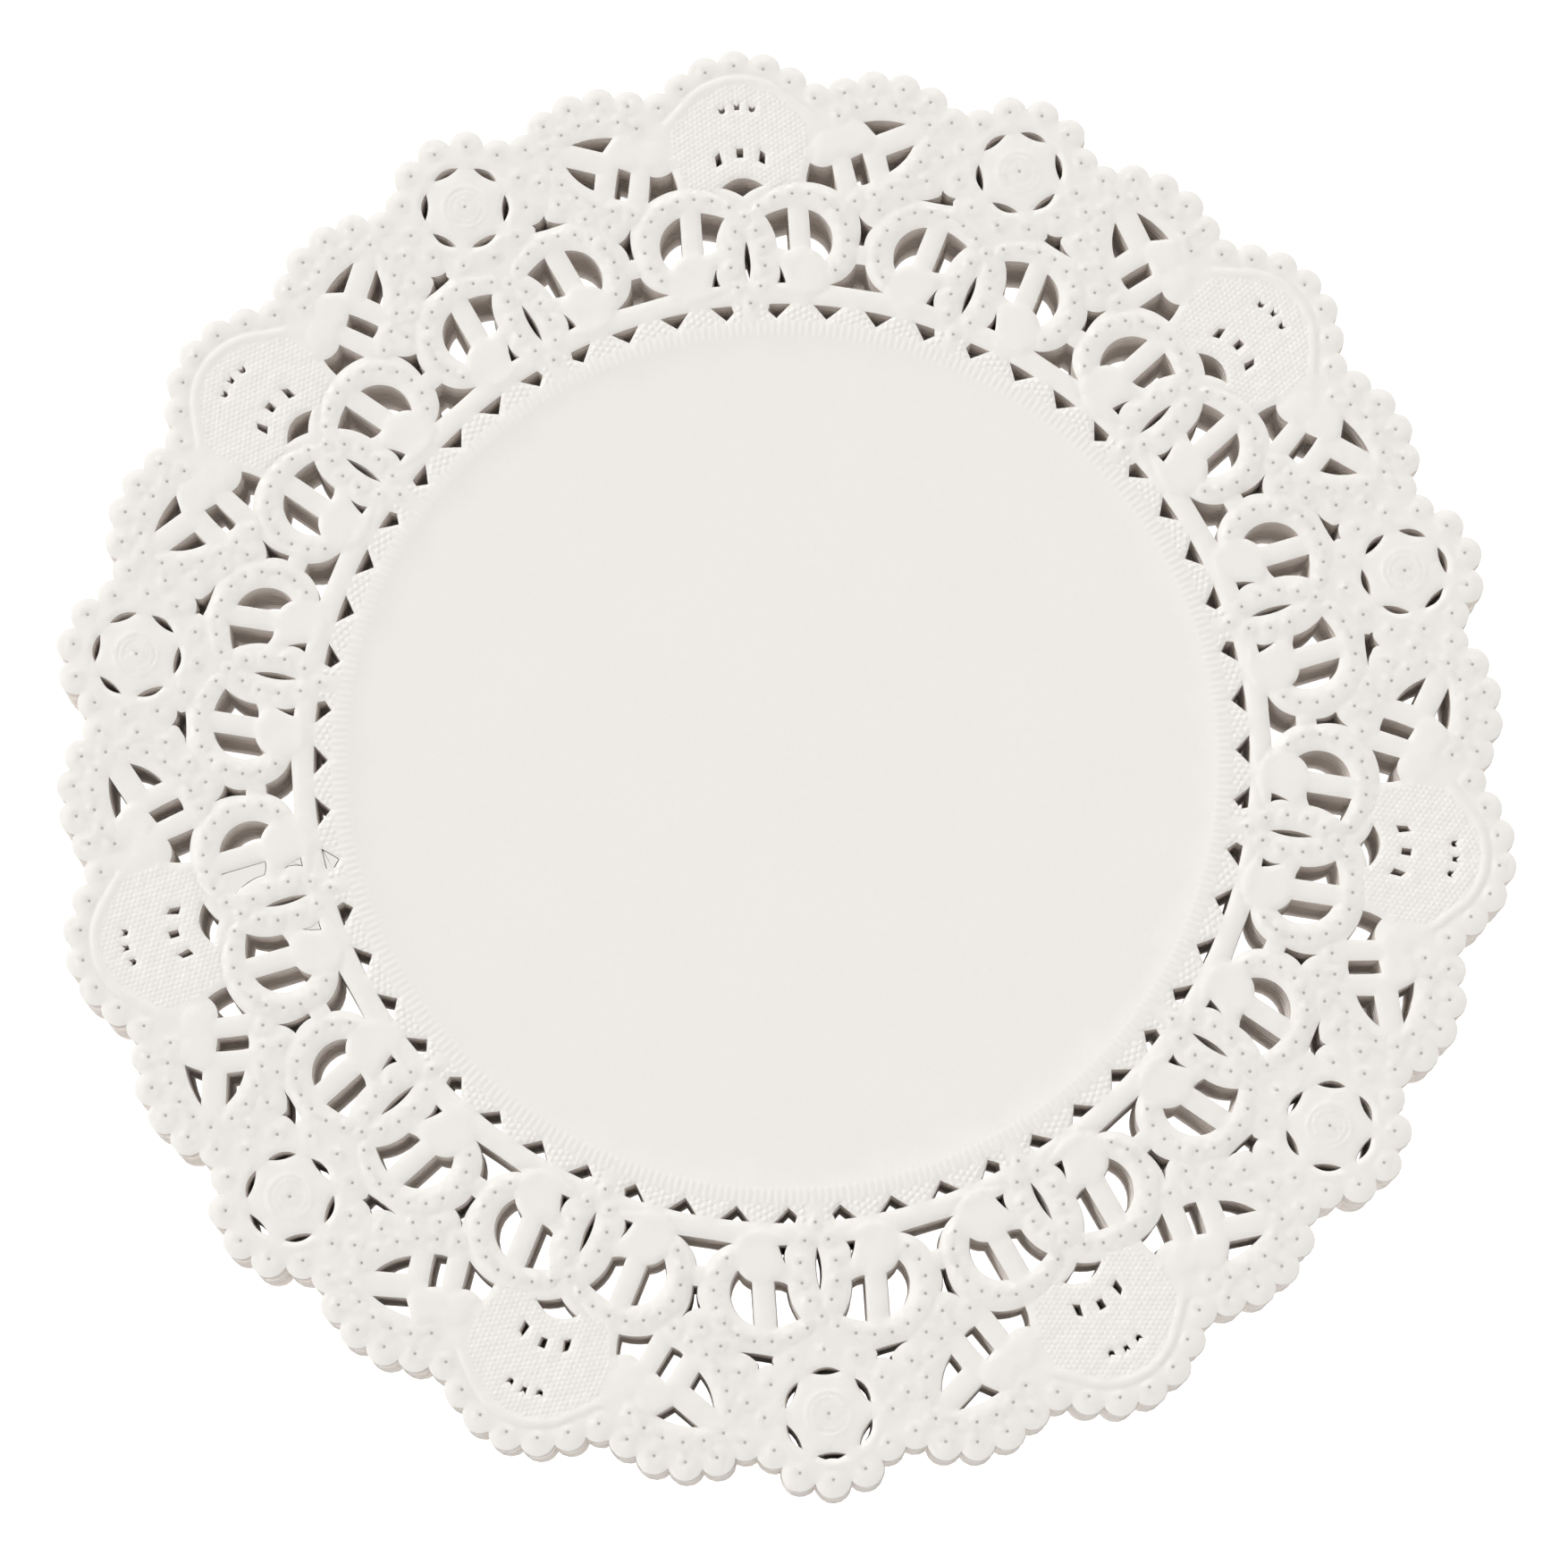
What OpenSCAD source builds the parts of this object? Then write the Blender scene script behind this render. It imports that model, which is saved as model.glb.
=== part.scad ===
// Stack of round paper lace doilies.
// Origin at the centre of the underside, +Z up, millimetres.
// The lace repeats seven times round. One repeat is a rosette, an arch, a fan
// and the mirrored arch, with two pairs of loops and eight edge cuts inside them.
// The centre of one fan points along +Y.

/* [Stack] */
// How many doilies lie in the stack
sheet_count = 19; // [4:1:19]
// Thickness of one embossed doily
sheet_t = 0.5; // [0.2:0.05:0.8]
// Air left between one doily and the next
sheet_gap = 0.15; // [0.05:0.05:0.3]

/* [Border] */
// Radius of the circle through the rosette centres
rosette_ring_r = 90; // [72:1:120]
// Radius of one scallop of the edge
lobe_r = 2.45; // [1.8:0.05:3.2]
// Radius from a rosette's centre to the centres of its scallops
rosette_lobe_r = 8.8; // [7:0.1:11]
// Radius from an arch's centre to the centres of its scallops
arch_lobe_r = 12.4; // [10:0.1:15]
// Radius from a fan's centre to the centres of its scallops
fan_lobe_r = 11.4; // [9:0.1:14]
// How far the arch centres lie inside the rosette centres
arch_inset = 5.2; // [3:0.1:7]
// How far the fan centres lie inside the rosette centres
fan_inset = 2.1; // [0:0.1:4]

/* [Loops] */
// How far the loop centres lie inside the rosette centres
loop_inset = 16.7; // [14.5:0.1:20]
// Radius of the open middle of a loop
loop_r = 4.55; // [3.7:0.05:5.5]
// Distance from a pair's centre line to each loop's centre
loop_offset = 7.6; // [6.8:0.05:8]
// Width of the post across each loop
post_w = 2.9; // [2:0.1:3.6]
// Half the width of the dotted spine between a pair of loops, at its outer end
spine_half = 3.1; // [2.5:0.1:3.8]
// Radius of the plain bud at the foot of each loop
bud_r = 3.6; // [3:0.05:4.4]
// How far the bud's centre lies inside the loop's centre
bud_drop = 4.8; // [4:0.05:5.8]

/* [Inner edge] */
// How far the edge cuts lie inside the loop centres
edge_drop = 9.1; // [8.4:0.05:11]
// Width of an edge cut
edge_cut_w = 4; // [3:0.1:4.8]
// Depth of an edge cut, from its wide side to its point
edge_cut_l = 1.95; // [1.4:0.05:2.6]

/* [Hidden] */
repeats = 7;
// Angle from a rosette to the next fan, and from one loop pair to the next
half_turn = 180 / repeats;
// Direction of an arch, clockwise from its rosette
arch_angle = 12.5;
// Scallops of an arch: the middle one's direction and the step to the next
arch_lobe_mid = -7;
arch_lobe_step = 19.7;
// Step between the scallops of a rosette and of a fan
rosette_lobe_step = 30;
fan_lobe_step = 21.1;
// Direction and reach of the scallop between an arch and a fan
flank_angle = 19;
flank_out = 4.4;
// How far the plain plate under the scallops reaches past the rosette centres
plate_over = 3.2;
pitch = sheet_t + sheet_gap;
arch_ring_r = rosette_ring_r - arch_inset;
fan_ring_r = rosette_ring_r - fan_inset;
loop_ring_r = rosette_ring_r - loop_inset;
// The side of a post that faces the pair's centre line, and the top of a bud
post_side = loop_offset - post_w / 2;
bud_top = bud_r - bud_drop;
paper = [0.94, 0.93, 0.91];
$fn = 48;

// Cuts of an arch, from the arch's centre with Y pointing outward
ARCH_CUTS = [
    [[-2.6, 7.5], [3.3, 7.05], [1.3, 5.15]],
    [[-4.25, 4.6], [-0.55, 2.4], [-1.6, 0.15]],
    [[2.8, 2.25], [4.25, 1.2], [2.65, -2.55], [0.95, -1.8]],
    [[6.6, -0.4], [9.8, -0.6], [9.9, -3.2], [5.3, -3.85]]
];
// Moon of a fan, from the fan's centre
MOON = [[-3.1, -6.3], [0, -5], [3.1, -6.3], [0, -7.8]];
// Inner hole of a loop, between the spine, the loop's ring, the post and the bud
LOOP_HOLE = [
    [spine_half, loop_r - 0.6], [post_side, loop_r + 0.25],
    [post_side, bud_top], [spine_half + 1.05, bud_top + 0.45]
];
// Three sided hole between two loop pairs, from the loop centres
WEB_HOLE = [[-3.3, -5.9], [0, -2], [3.3, -5.9]];

function name_of(i) = str(i < 10 ? "doily_0" : "doily_", i);

// Children and their mirror image about the Y axis
module both() {
    children();
    mirror([1, 0]) children();
}

// Children at every rosette, and with their mirror image
module each_rosette() {
    for (k = [0:repeats - 1]) rotate(half_turn - 2 * half_turn * k) both() children();
}

// Children at every fan
module each_fan() {
    for (k = [0:repeats - 1]) rotate(2 * half_turn * k) children();
}

// Children at every loop pair's centre line
module each_pair() {
    for (k = [0:2 * repeats - 1]) rotate(half_turn * k) children();
}

// A disc with scallops on its rim. Each scallop circle starts on its inner side, so that one arc shows.
module scallops(ring_r, step, mid) {
    circle(ring_r);
    for (k = [-2:2]) rotate(-mid - step * k) translate([0, ring_r]) rotate(-90) circle(lobe_r);
}

module arch_place() {
    rotate(-arch_angle) translate([0, arch_ring_r]) children();
}

// The sheet before cutting: a round plate with the scalloped motifs on it
module plate() {
    circle(rosette_ring_r + plate_over);
    for (k = [0:repeats - 1]) rotate(half_turn - 2 * half_turn * k) translate([0, rosette_ring_r])
        scallops(rosette_lobe_r, rosette_lobe_step, 0);
    each_rosette() {
        arch_place() scallops(arch_lobe_r, arch_lobe_step, arch_lobe_mid);
        rotate(-flank_angle) translate([0, rosette_ring_r + flank_out]) rotate(-90) circle(lobe_r);
    }
    each_fan() translate([0, fan_ring_r]) scallops(fan_lobe_r, fan_lobe_step, 0);
}

// Outer hole of a loop, between the post, the loop's ring and the bud
module loop_window() {
    difference() {
        translate([loop_offset, 0]) intersection() {
            rotate(180) circle(loop_r);
            translate([post_w / 2, -loop_r]) square([loop_r, 2 * loop_r]);
        }
        translate([loop_offset, -bud_drop]) circle(bud_r);
    }
}

module cuts() {
    each_rosette() arch_place() for (c = ARCH_CUTS) polygon(c);
    each_fan() translate([0, fan_ring_r]) polygon(MOON);
    each_pair() {
        translate([0, loop_ring_r]) both() {
            polygon(LOOP_HOLE);
            loop_window();
        }
        rotate(half_turn / 2) translate([0, loop_ring_r]) polygon(WEB_HOLE);
        both() for (k = [1, 3]) rotate(-half_turn * k / 8) translate([0, loop_ring_r - edge_drop])
            polygon([[-edge_cut_w / 2, 0], [edge_cut_w / 2, 0], [0, -edge_cut_l]]);
    }
}

// One doily, the i-th from the bottom
module doily(i) {
    color(paper) translate([0, 0, pitch * (i - 1)]) linear_extrude(sheet_t) difference() {
        plate();
        cuts();
    }
}

for (i = [1:sheet_count]) doily(i);
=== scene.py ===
"""A stack of round paper lace doilies, embossed and punched, laid loosely one on another.

The lace repeats seven times round a doily. Half of one repeat, from the centre line of a
rosette to the centre line of the next fan, holds the whole pattern: it is meshed once and
then mirrored and turned fourteen times. Pattern sizes are in millimetres for a doily whose
rosette centres lie on a circle of RING_MM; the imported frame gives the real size.
"""

import logging
import math
from dataclasses import dataclass, field
from enum import Enum

import bpy
import numpy as np
from mathutils import Matrix, Quaternion, Vector, noise
from mathutils.geometry import delaunay_2d_cdt


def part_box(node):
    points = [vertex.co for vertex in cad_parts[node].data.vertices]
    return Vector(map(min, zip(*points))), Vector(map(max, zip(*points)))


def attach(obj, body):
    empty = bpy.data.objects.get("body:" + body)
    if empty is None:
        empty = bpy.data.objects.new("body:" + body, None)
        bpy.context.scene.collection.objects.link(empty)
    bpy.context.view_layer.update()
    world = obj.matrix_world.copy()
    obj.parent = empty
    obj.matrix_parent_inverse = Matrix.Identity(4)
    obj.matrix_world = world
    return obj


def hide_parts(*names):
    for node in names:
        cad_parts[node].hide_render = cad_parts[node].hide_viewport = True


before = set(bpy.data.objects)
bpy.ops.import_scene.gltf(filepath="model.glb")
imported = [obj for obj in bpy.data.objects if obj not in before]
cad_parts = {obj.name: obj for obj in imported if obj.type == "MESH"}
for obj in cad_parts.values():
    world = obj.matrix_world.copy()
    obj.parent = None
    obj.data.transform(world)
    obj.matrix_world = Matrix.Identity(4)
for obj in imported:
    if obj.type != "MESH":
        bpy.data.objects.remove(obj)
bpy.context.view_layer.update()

LOG = logging.getLogger("doilies")

RING_MM = 90.0
REPEATS = 7
HALF_TURN = 180.0 / REPEATS
TINY = 1e-6


# ---------------------------------------------------------------- plane geometry


def turned(points: np.ndarray, degrees: float) -> np.ndarray:
    """Points turned clockwise about the doily's centre.

    Args:
        points: An array of x, y rows.
        degrees: The clockwise angle.

    Returns:
        The turned points.
    """
    a = math.radians(degrees)
    x, y = points[:, 0], points[:, 1]
    return np.stack([x * math.cos(a) + y * math.sin(a), y * math.cos(a) - x * math.sin(a)], 1)


def mirrored(points: np.ndarray) -> np.ndarray:
    """Points mirrored about the Y axis."""
    return points * np.array([-1.0, 1.0])


def placed(points: np.ndarray, centre: tuple[float, float], degrees: float = 0.0) -> np.ndarray:
    """Points of a motif's own frame, turned clockwise and then moved to its centre."""
    return turned(points, degrees) + np.array(centre)


def polar(radius: float, degrees: float) -> tuple[float, float]:
    """The point at a radius, clockwise from the Y axis."""
    return radius * math.sin(math.radians(degrees)), radius * math.cos(math.radians(degrees))


def arc(centre: tuple[float, float], radius: float, start: float, end: float, step: float) -> np.ndarray:
    """Points along an arc, both ends included.

    Args:
        centre: Centre of the arc.
        radius: Radius of the arc.
        start: Direction of its first point, clockwise from the Y axis, in degrees.
        end: Direction of its last point.
        step: Spacing of the points.

    Returns:
        An array of x, y rows.
    """
    count = max(2, 1 + round(abs(math.radians(end - start)) * radius / step))
    a = np.radians(np.linspace(start, end, count))
    return np.stack([centre[0] + radius * np.sin(a), centre[1] + radius * np.cos(a)], 1)


def circle(centre: tuple[float, float], radius: float, count: int, start: float = 0.0) -> np.ndarray:
    """Evenly spaced points round a circle."""
    a = np.radians(start + 360.0 / count * np.arange(count))
    return np.stack([centre[0] + radius * np.sin(a), centre[1] + radius * np.cos(a)], 1)


def meeting_point(a: tuple[float, float], b: tuple[float, float], radius: float) -> np.ndarray:
    """The outer of the two points where circles of one radius about a and b meet.

    Args:
        a: Centre of the first circle.
        b: Centre of the second circle.
        radius: Radius of both circles.

    Returns:
        The x, y of the meeting point.
    """
    p, q = np.array(a), np.array(b)
    between = q - p
    gap = float(np.linalg.norm(between))
    normal = np.array([-between[1], between[0]]) / gap
    middle = (p + q) / 2
    normal *= math.copysign(1.0, float(normal @ middle))
    return middle + normal * math.sqrt(radius**2 - gap**2 / 4)


def contains(outline: np.ndarray, points: np.ndarray) -> np.ndarray:
    """Which points lie inside a closed outline.

    Args:
        outline: The outline's corners.
        points: The points to test.

    Returns:
        A boolean for each point.
    """
    inside = np.zeros(len(points), bool)
    x, y = points[:, 0], points[:, 1]
    for (x1, y1), (x2, y2) in zip(outline, np.roll(outline, -1, axis=0)):
        crosses = (y1 > y) != (y2 > y)
        if abs(y2 - y1) > 1e-12:
            inside ^= crosses & (x < (x2 - x1) * (y - y1) / (y2 - y1) + x1)
    return inside


def clipped(outline: np.ndarray, normal: np.ndarray) -> np.ndarray:
    """The part of a closed outline on the side of a line through the centre that a normal points to.

    Args:
        outline: The outline's corners.
        normal: The normal of the line.

    Returns:
        The corners that are left, none if the outline lies on the other side.
    """
    kept = []
    for p, q in zip(outline, np.roll(outline, -1, axis=0)):
        a, b = float(p @ normal), float(q @ normal)
        if a >= -TINY:
            kept.append(p)
        if (a > TINY and b < -TINY) or (a < -TINY and b > TINY):
            kept.append(p + (q - p) * a / (a - b))
    return np.array(kept).reshape(-1, 2)


def distance_to(points: np.ndarray, starts: np.ndarray, ends: np.ndarray) -> np.ndarray:
    """Distance from each point to the nearest of many line segments.

    Args:
        points: The points.
        starts: First end of each segment.
        ends: Second end of each segment.

    Returns:
        One distance for each point.
    """
    along = ends - starts
    length = np.maximum((along**2).sum(1), 1e-12)
    nearest = []
    for few in np.array_split(points, max(1, len(points) // 1500)):
        rel = few[:, None, :] - starts[None]
        t = np.clip((rel * along).sum(2) / length, 0, 1)
        nearest.append(np.sqrt(((rel - t[..., None] * along) ** 2).sum(2).min(1)))
    return np.concatenate(nearest)


def smooth(value: np.ndarray, low: float, high: float) -> np.ndarray:
    """0 below low, 1 above high and a smooth rise between them."""
    t = np.clip((value - low) / (high - low), 0, 1)
    return t * t * (3 - 2 * t)


# ---------------------------------------------------------------- the lace pattern


@dataclass(frozen=True)
class Cut:
    """A punched hole: its corners, each with how far the side to the next corner bulges outward."""

    corners: tuple[tuple[float, float, float], ...]

    def sides(self, step: float) -> list[np.ndarray]:
        """Points along each side of the hole, without the side's last point.

        Args:
            step: Spacing of the points.

        Returns:
            An array of x, y rows for each side.
        """
        p = np.array(self.corners)[:, :2]
        found = []
        for start, end, (_, _, bow), out in zip(p, np.roll(p, -1, axis=0), self.corners, self.outward()):
            chord = end - start
            count = max(1, round(float(np.linalg.norm(chord)) / step))
            t = (np.arange(count) / count)[:, None]
            found.append(start + t * chord + 4 * bow * t * (1 - t) * out)
        return found

    def outward(self) -> np.ndarray:
        """The direction that points out of the hole at each side.

        Returns:
            A unit x, y row for each side.
        """
        p = np.array(self.corners)[:, :2]
        q = np.roll(p, -1, axis=0)
        way = math.copysign(1.0, float((p[:, 0] * q[:, 1] - q[:, 0] * p[:, 1]).sum()))
        chord = q - p
        return np.stack([chord[:, 1], -chord[:, 0]], 1) / np.linalg.norm(chord, axis=1)[:, None] * way

    def outline(self, step: float) -> np.ndarray:
        """Points round the whole hole, at a spacing."""
        return np.concatenate(self.sides(step))


@dataclass
class Motif:
    """A part of the lace, drawn in the half repeat whose Y axis runs through a rosette."""

    def cuts(self, step: float) -> list[np.ndarray]:
        """Outlines of the motif's holes."""
        return []

    def dots(self) -> list[np.ndarray]:
        """Centres of the motif's raised and pricked dots."""
        return []

    def guides(self) -> list[np.ndarray]:
        """Points that the mesh needs to show the motif's relief."""
        return []

    def relief(self, points: np.ndarray) -> np.ndarray:
        """Height that the motif adds at each point."""
        return np.zeros(len(points))

    def crisp(self, points: np.ndarray) -> np.ndarray:
        """Which points lie where the relief is so fine that each facet shows."""
        return np.zeros(len(points), bool)


@dataclass
class LoopPair(Motif):
    """Two loops side by side with a dotted spine between them, on every rosette and fan line."""

    centre_r: float = 73.3
    offset: float = 7.6
    open_r: float = 4.55
    post_edge: float = 9.05
    bud_drop: float = 4.8
    bud_r: float = 3.6
    dot_ring_r: float = 6.7
    dot_first: float = -6.0
    dot_step: float = 20.4
    dot_count: int = 8
    rim_r: float = 5.45
    groove_r: float = 8.35
    inner_hole: Cut = Cut(((2.8, 3.8, 0.12), (6.12, 4.8, 0.0), (6.12, -1.4, 0.15), (4.3, -0.8, -0.38)))
    slit: Cut = Cut(((4.4, -3.6, 0.1), (5.2, -6.15, 0.0), (3.95, -6.1, -0.25)))
    lens: Cut = Cut(((0.0, 0.25, 0.42), (0.0, -5.6, 0.42)))
    spine_dots: tuple[tuple[float, float], ...] = (
        (0.0, 8.2), (0.0, 3.75), (1.45, 1.6), (2.35, -0.85), (2.4, -3.6), (1.6, -6.5), (0.0, -8.9),
        (2.05, 5.2), (4.4, 6.3),
    )

    def window(self, step: float) -> np.ndarray:
        """The outer opening of a loop, between its post, its ring and its bud.

        Args:
            step: Spacing of the points.

        Returns:
            An array of x, y rows.
        """
        loop, bud = (self.offset, 0.0), (self.offset, -self.bud_drop)
        post = self.post_edge - self.offset
        top = math.degrees(math.asin(post / self.open_r))
        reach = (self.open_r**2 - self.bud_r**2 + self.bud_drop**2) / (2 * self.bud_drop)
        low = math.degrees(math.acos(-reach / self.open_r))
        side = math.sqrt(self.open_r**2 - reach**2)
        bud_low = math.degrees(math.asin(side / self.bud_r))
        bud_top = math.degrees(math.asin(post / self.bud_r))
        ring = arc(loop, self.open_r, top, low, step)
        foot = arc(bud, self.bud_r, bud_low, bud_top, step)
        return np.concatenate([ring, foot[1:], self.straight(foot[-1], ring[0], step)])

    @staticmethod
    def straight(start: np.ndarray, end: np.ndarray, step: float) -> np.ndarray:
        """Points between two ends, without the ends."""
        count = max(1, round(float(np.linalg.norm(end - start)) / step))
        return np.array([start + (end - start) * k / count for k in range(1, count)]).reshape(-1, 2)

    def everywhere(self, points: np.ndarray, lone: bool = False) -> list[np.ndarray]:
        """A shape of the pair's right half, on both sides of both lines of the half repeat.

        Args:
            points: The shape, from the centre of the pair.
            lone: True for a shape that lies on the line itself, so it has no mirror image.

        Returns:
            The copies of the shape.
        """
        both = [points] if lone else [points, mirrored(points)]
        return [turned(p + (0.0, self.centre_r), a) for a in (0.0, HALF_TURN) for p in both]

    def cuts(self, step: float) -> list[np.ndarray]:
        """Outlines of the loops' openings, the slits and the lens of the spine.

        Args:
            step: Spacing of the points.

        Returns:
            An array of x, y rows for each hole.
        """
        shapes = [self.inner_hole.outline(step), self.window(step), self.slit.outline(step)]
        found = [p for shape in shapes for p in self.everywhere(shape)]
        return found + self.everywhere(self.lens.outline(step), lone=True)

    def dots(self) -> list[np.ndarray]:
        """Centres of the dots on the loops' rings and on the spine.

        Returns:
            Arrays of x, y rows.
        """
        angles = [self.dot_first + self.dot_step * k for k in range(self.dot_count)]
        ring = np.array([polar(self.dot_ring_r, a) for a in angles]) + (self.offset, 0.0)
        return self.everywhere(np.concatenate([ring, np.array(self.spine_dots)]))

    def middles(self, drop: float = 0.0) -> np.ndarray:
        """Centres of the loops, or of what lies a drop below them."""
        return np.concatenate(self.everywhere(np.array([[self.offset, -drop]])))

    def guides(self) -> list[np.ndarray]:
        """Rings round each bud's edge and along each loop's rim.

        Returns:
            Arrays of x, y rows.
        """
        rings = []
        for bud in self.middles(self.bud_drop):
            rings += [circle(bud, self.bud_r - 0.45, 24), circle(bud, self.bud_r - 0.05, 28)]
            rings += [circle(bud, self.bud_r + 0.4, 28), circle(bud, self.bud_r - 1.5, 12)]
        for loop in self.middles():
            rings += [circle(loop, self.rim_r, 38), circle(loop, self.groove_r, 64)]
            rings += [circle(loop, self.groove_r - 0.42, 60), circle(loop, self.groove_r + 0.4, 66)]
        return rings

    def relief(self, points: np.ndarray) -> np.ndarray:
        """A rolled rim round each opening and a raised flat bud at its foot.

        Args:
            points: Points of the half repeat.

        Returns:
            A height for each point, in millimetres.
        """
        height = np.zeros(len(points))
        on_bud = np.zeros(len(points))
        spine = np.minimum(np.abs(points[:, 0]), np.abs(turned(points, -HALF_TURN)[:, 0]))
        off_spine = smooth(spine, 0.5, 1.8)
        for bud in self.middles(self.bud_drop):
            r = np.hypot(*(points - bud).T)
            on_bud = np.maximum(on_bud, 1 - smooth(r, self.bud_r - 0.35, self.bud_r + 0.35))
        for loop in self.middles():
            r = np.hypot(*(points - loop).T)
            ring = smooth(r, self.open_r, self.rim_r)
            ring *= 1 - smooth(r, self.groove_r - 0.7, self.groove_r - 0.1)
            groove = np.exp(-(((r - self.groove_r) / 0.28) ** 2))
            height = np.maximum(height, 0.08 * ring) \
                - 0.07 * groove * off_spine * (1 - self.inside_other(points, loop))
        return height * (1 - on_bud) + 0.15 * on_bud

    def inside_other(self, points: np.ndarray, loop: np.ndarray) -> np.ndarray:
        """How far each point lies on the ring of a loop other than the given one, from 0 to 1.

        Args:
            points: Points of the half repeat.
            loop: Centre of the loop that is left out.

        Returns:
            A share for each point.
        """
        share = np.zeros(len(points))
        for other in self.middles():
            if np.hypot(*(other - loop)) > 0.1:
                r = np.hypot(*(points - other).T)
                share = np.maximum(share, 1 - smooth(r, self.groove_r - 0.6, self.groove_r))
        return share


@dataclass
class Web(Motif):
    """The three sided hole between two loop pairs."""

    line: float = HALF_TURN / 2
    hole: Cut = Cut(((3.8, -6.0, 0.05), (-3.8, -6.0, -0.55), (-0.65, -2.4, 0.0), (0.65, -2.4, -0.55)))
    centre_r: float = 73.3

    def cuts(self, step: float) -> list[np.ndarray]:
        """Outline of the hole."""
        return [turned(self.hole.outline(step) + (0.0, self.centre_r), self.line)]


@dataclass
class Rosette(Motif):
    """A round motif on the edge with six petal cuts round its raised rings."""

    centre: tuple[float, float] = (0.0, RING_MM)
    petal_r: float = 5.85
    petal_inner: float = 4.86
    petal_half: float = 1.95
    dot_ring_r: float = 8.6
    ring_radii: tuple[float, ...] = (1.35, 2.15, 2.95)
    star: Cut = Cut((
        (6.9, -6.9, -0.25), (9.05, -6.5, -0.3), (9.6, -7.9, -0.15), (11.4, -8.95, 0.1), (6.85, -8.05, -0.2),
    ))

    def petal(self) -> Cut:
        """The petal cut that points outward.

        Returns:
            The cut, from the centre of the rosette.
        """
        end = math.sqrt(self.petal_r**2 - self.petal_half**2)
        half = self.petal_half
        return Cut(((-half, end, self.petal_r - end), (half, end, end - self.petal_inner)))

    def cuts(self, step: float) -> list[np.ndarray]:
        """Outlines of the petals and of the star at the rosette's foot.

        Args:
            step: Spacing of the points.

        Returns:
            An array of x, y rows for each hole.
        """
        petal = self.petal().outline(step)
        petals = [placed(petal, self.centre, 60.0 * k) for k in range(4)]
        return petals + [placed(self.star.outline(step), self.centre)]

    def dots(self) -> list[np.ndarray]:
        """The centre dot and the dots of the outer ring that no scallop holds."""
        ring = [polar(self.dot_ring_r, 30.0 * k) for k in range(3, 7)]
        return [placed(np.array([(0.0, 0.0)] + ring), self.centre)]

    def guides(self) -> list[np.ndarray]:
        """Rings along the crests and valleys of the relief.

        Returns:
            Arrays of x, y rows.
        """
        radii = [0.7]
        for r in self.ring_radii:
            radii += [r - 0.2, r, r + 0.2, r + 0.4]
        radii += [3.9, 6.6, 7.3]
        return [circle(self.centre, r, max(8, round(2 * math.pi * r / 0.6))) for r in radii]

    def relief(self, points: np.ndarray) -> np.ndarray:
        """Fine raised rings round the centre and a rolled ring outside the petals.

        Args:
            points: Points of the half repeat.

        Returns:
            A height for each point, in millimetres.
        """
        r = np.hypot(*(points - np.array(self.centre)).T)
        height = sum(0.1 * np.exp(-(((r - ring) / 0.22) ** 2)) for ring in self.ring_radii)
        height += 0.05 * (1 - smooth(r, 3.2, 4.4))
        return height + 0.1 * np.exp(-(((r - 6.75) / 0.6) ** 2))


@dataclass
class Arch(Motif):
    """The dotted arch with spokes between a rosette and a fan."""

    direction: float = 12.5
    centre_r: float = 84.8
    row_r: float = 9.8
    row_first: float = -25.0
    row_step: float = 16.4
    holes: tuple[Cut, ...] = (
        Cut(((-2.6, 7.5, 0.35), (3.3, 6.8, 0.0), (1.3, 5.15, 0.0))),
        Cut(((-4.25, 4.6, 0.0), (-0.55, 2.4, 0.0), (-1.45, 0.15, 0.42))),
        Cut(((2.8, 2.25, 0.0), (4.25, 1.2, 0.0), (2.65, -2.55, 0.12), (0.95, -1.8, 0.1))),
        Cut(((6.7, -0.15, -0.45), (9.8, -0.35, 0.12), (9.9, -3.2, -0.3), (5.3, -3.85, 0.0))),
        Cut(((1.85, -6.75, -0.25), (-0.4, -8.3, -0.25), (0.4, -11.15, 0.0), (1.15, -11.1, -0.3))),
    )
    discs: tuple[tuple[float, float, float], ...] = ((23.15, 86.0, 2.4), (26.35, 83.65, 2.0))
    ground_dots: tuple[tuple[float, float], ...] = (
        (10.8, 87.9), (13.2, 88.8), (13.4, 86.1), (11.6, 83.8), (14.3, 83.4),
        (13.8, 80.1), (15.8, 81.1), (17.7, 79.2), (16.2, 77.4), (19.9, 77.3),
    )

    @property
    def centre(self) -> tuple[float, float]:
        """Centre of the arch."""
        return polar(self.centre_r, self.direction)

    def cuts(self, step: float) -> list[np.ndarray]:
        """Outlines of the holes between the spokes and of the star at the foot."""
        return [placed(hole.outline(step), self.centre, self.direction) for hole in self.holes]

    def dots(self) -> list[np.ndarray]:
        """The row of dots inside the scallops and those scattered on the ground beside the spokes."""
        row = [polar(self.row_r, self.row_first + self.row_step * k) for k in range(6)]
        return [placed(np.array(row), self.centre), np.array(self.ground_dots)]

    def guides(self) -> list[np.ndarray]:
        """Rings round the edges of the two plain discs.

        Returns:
            Arrays of x, y rows.
        """
        rings = []
        for x, y, r in self.discs:
            rings += [circle((x, y), r + d, n) for d, n in ((-0.35, 18), (0.1, 20), (0.5, 22))]
        return rings

    def relief(self, points: np.ndarray) -> np.ndarray:
        """Two plain discs, one overlapping the other.

        Args:
            points: Points of the half repeat.

        Returns:
            A height for each point, in millimetres.
        """
        height = np.zeros(len(points))
        for x, y, r in self.discs:
            away = np.hypot(*(points - (x, y)).T)
            height = np.maximum(height, (0.09 + 0.012 * r) * (1 - smooth(away, r - 0.3, r + 0.35)))
        return height


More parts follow.
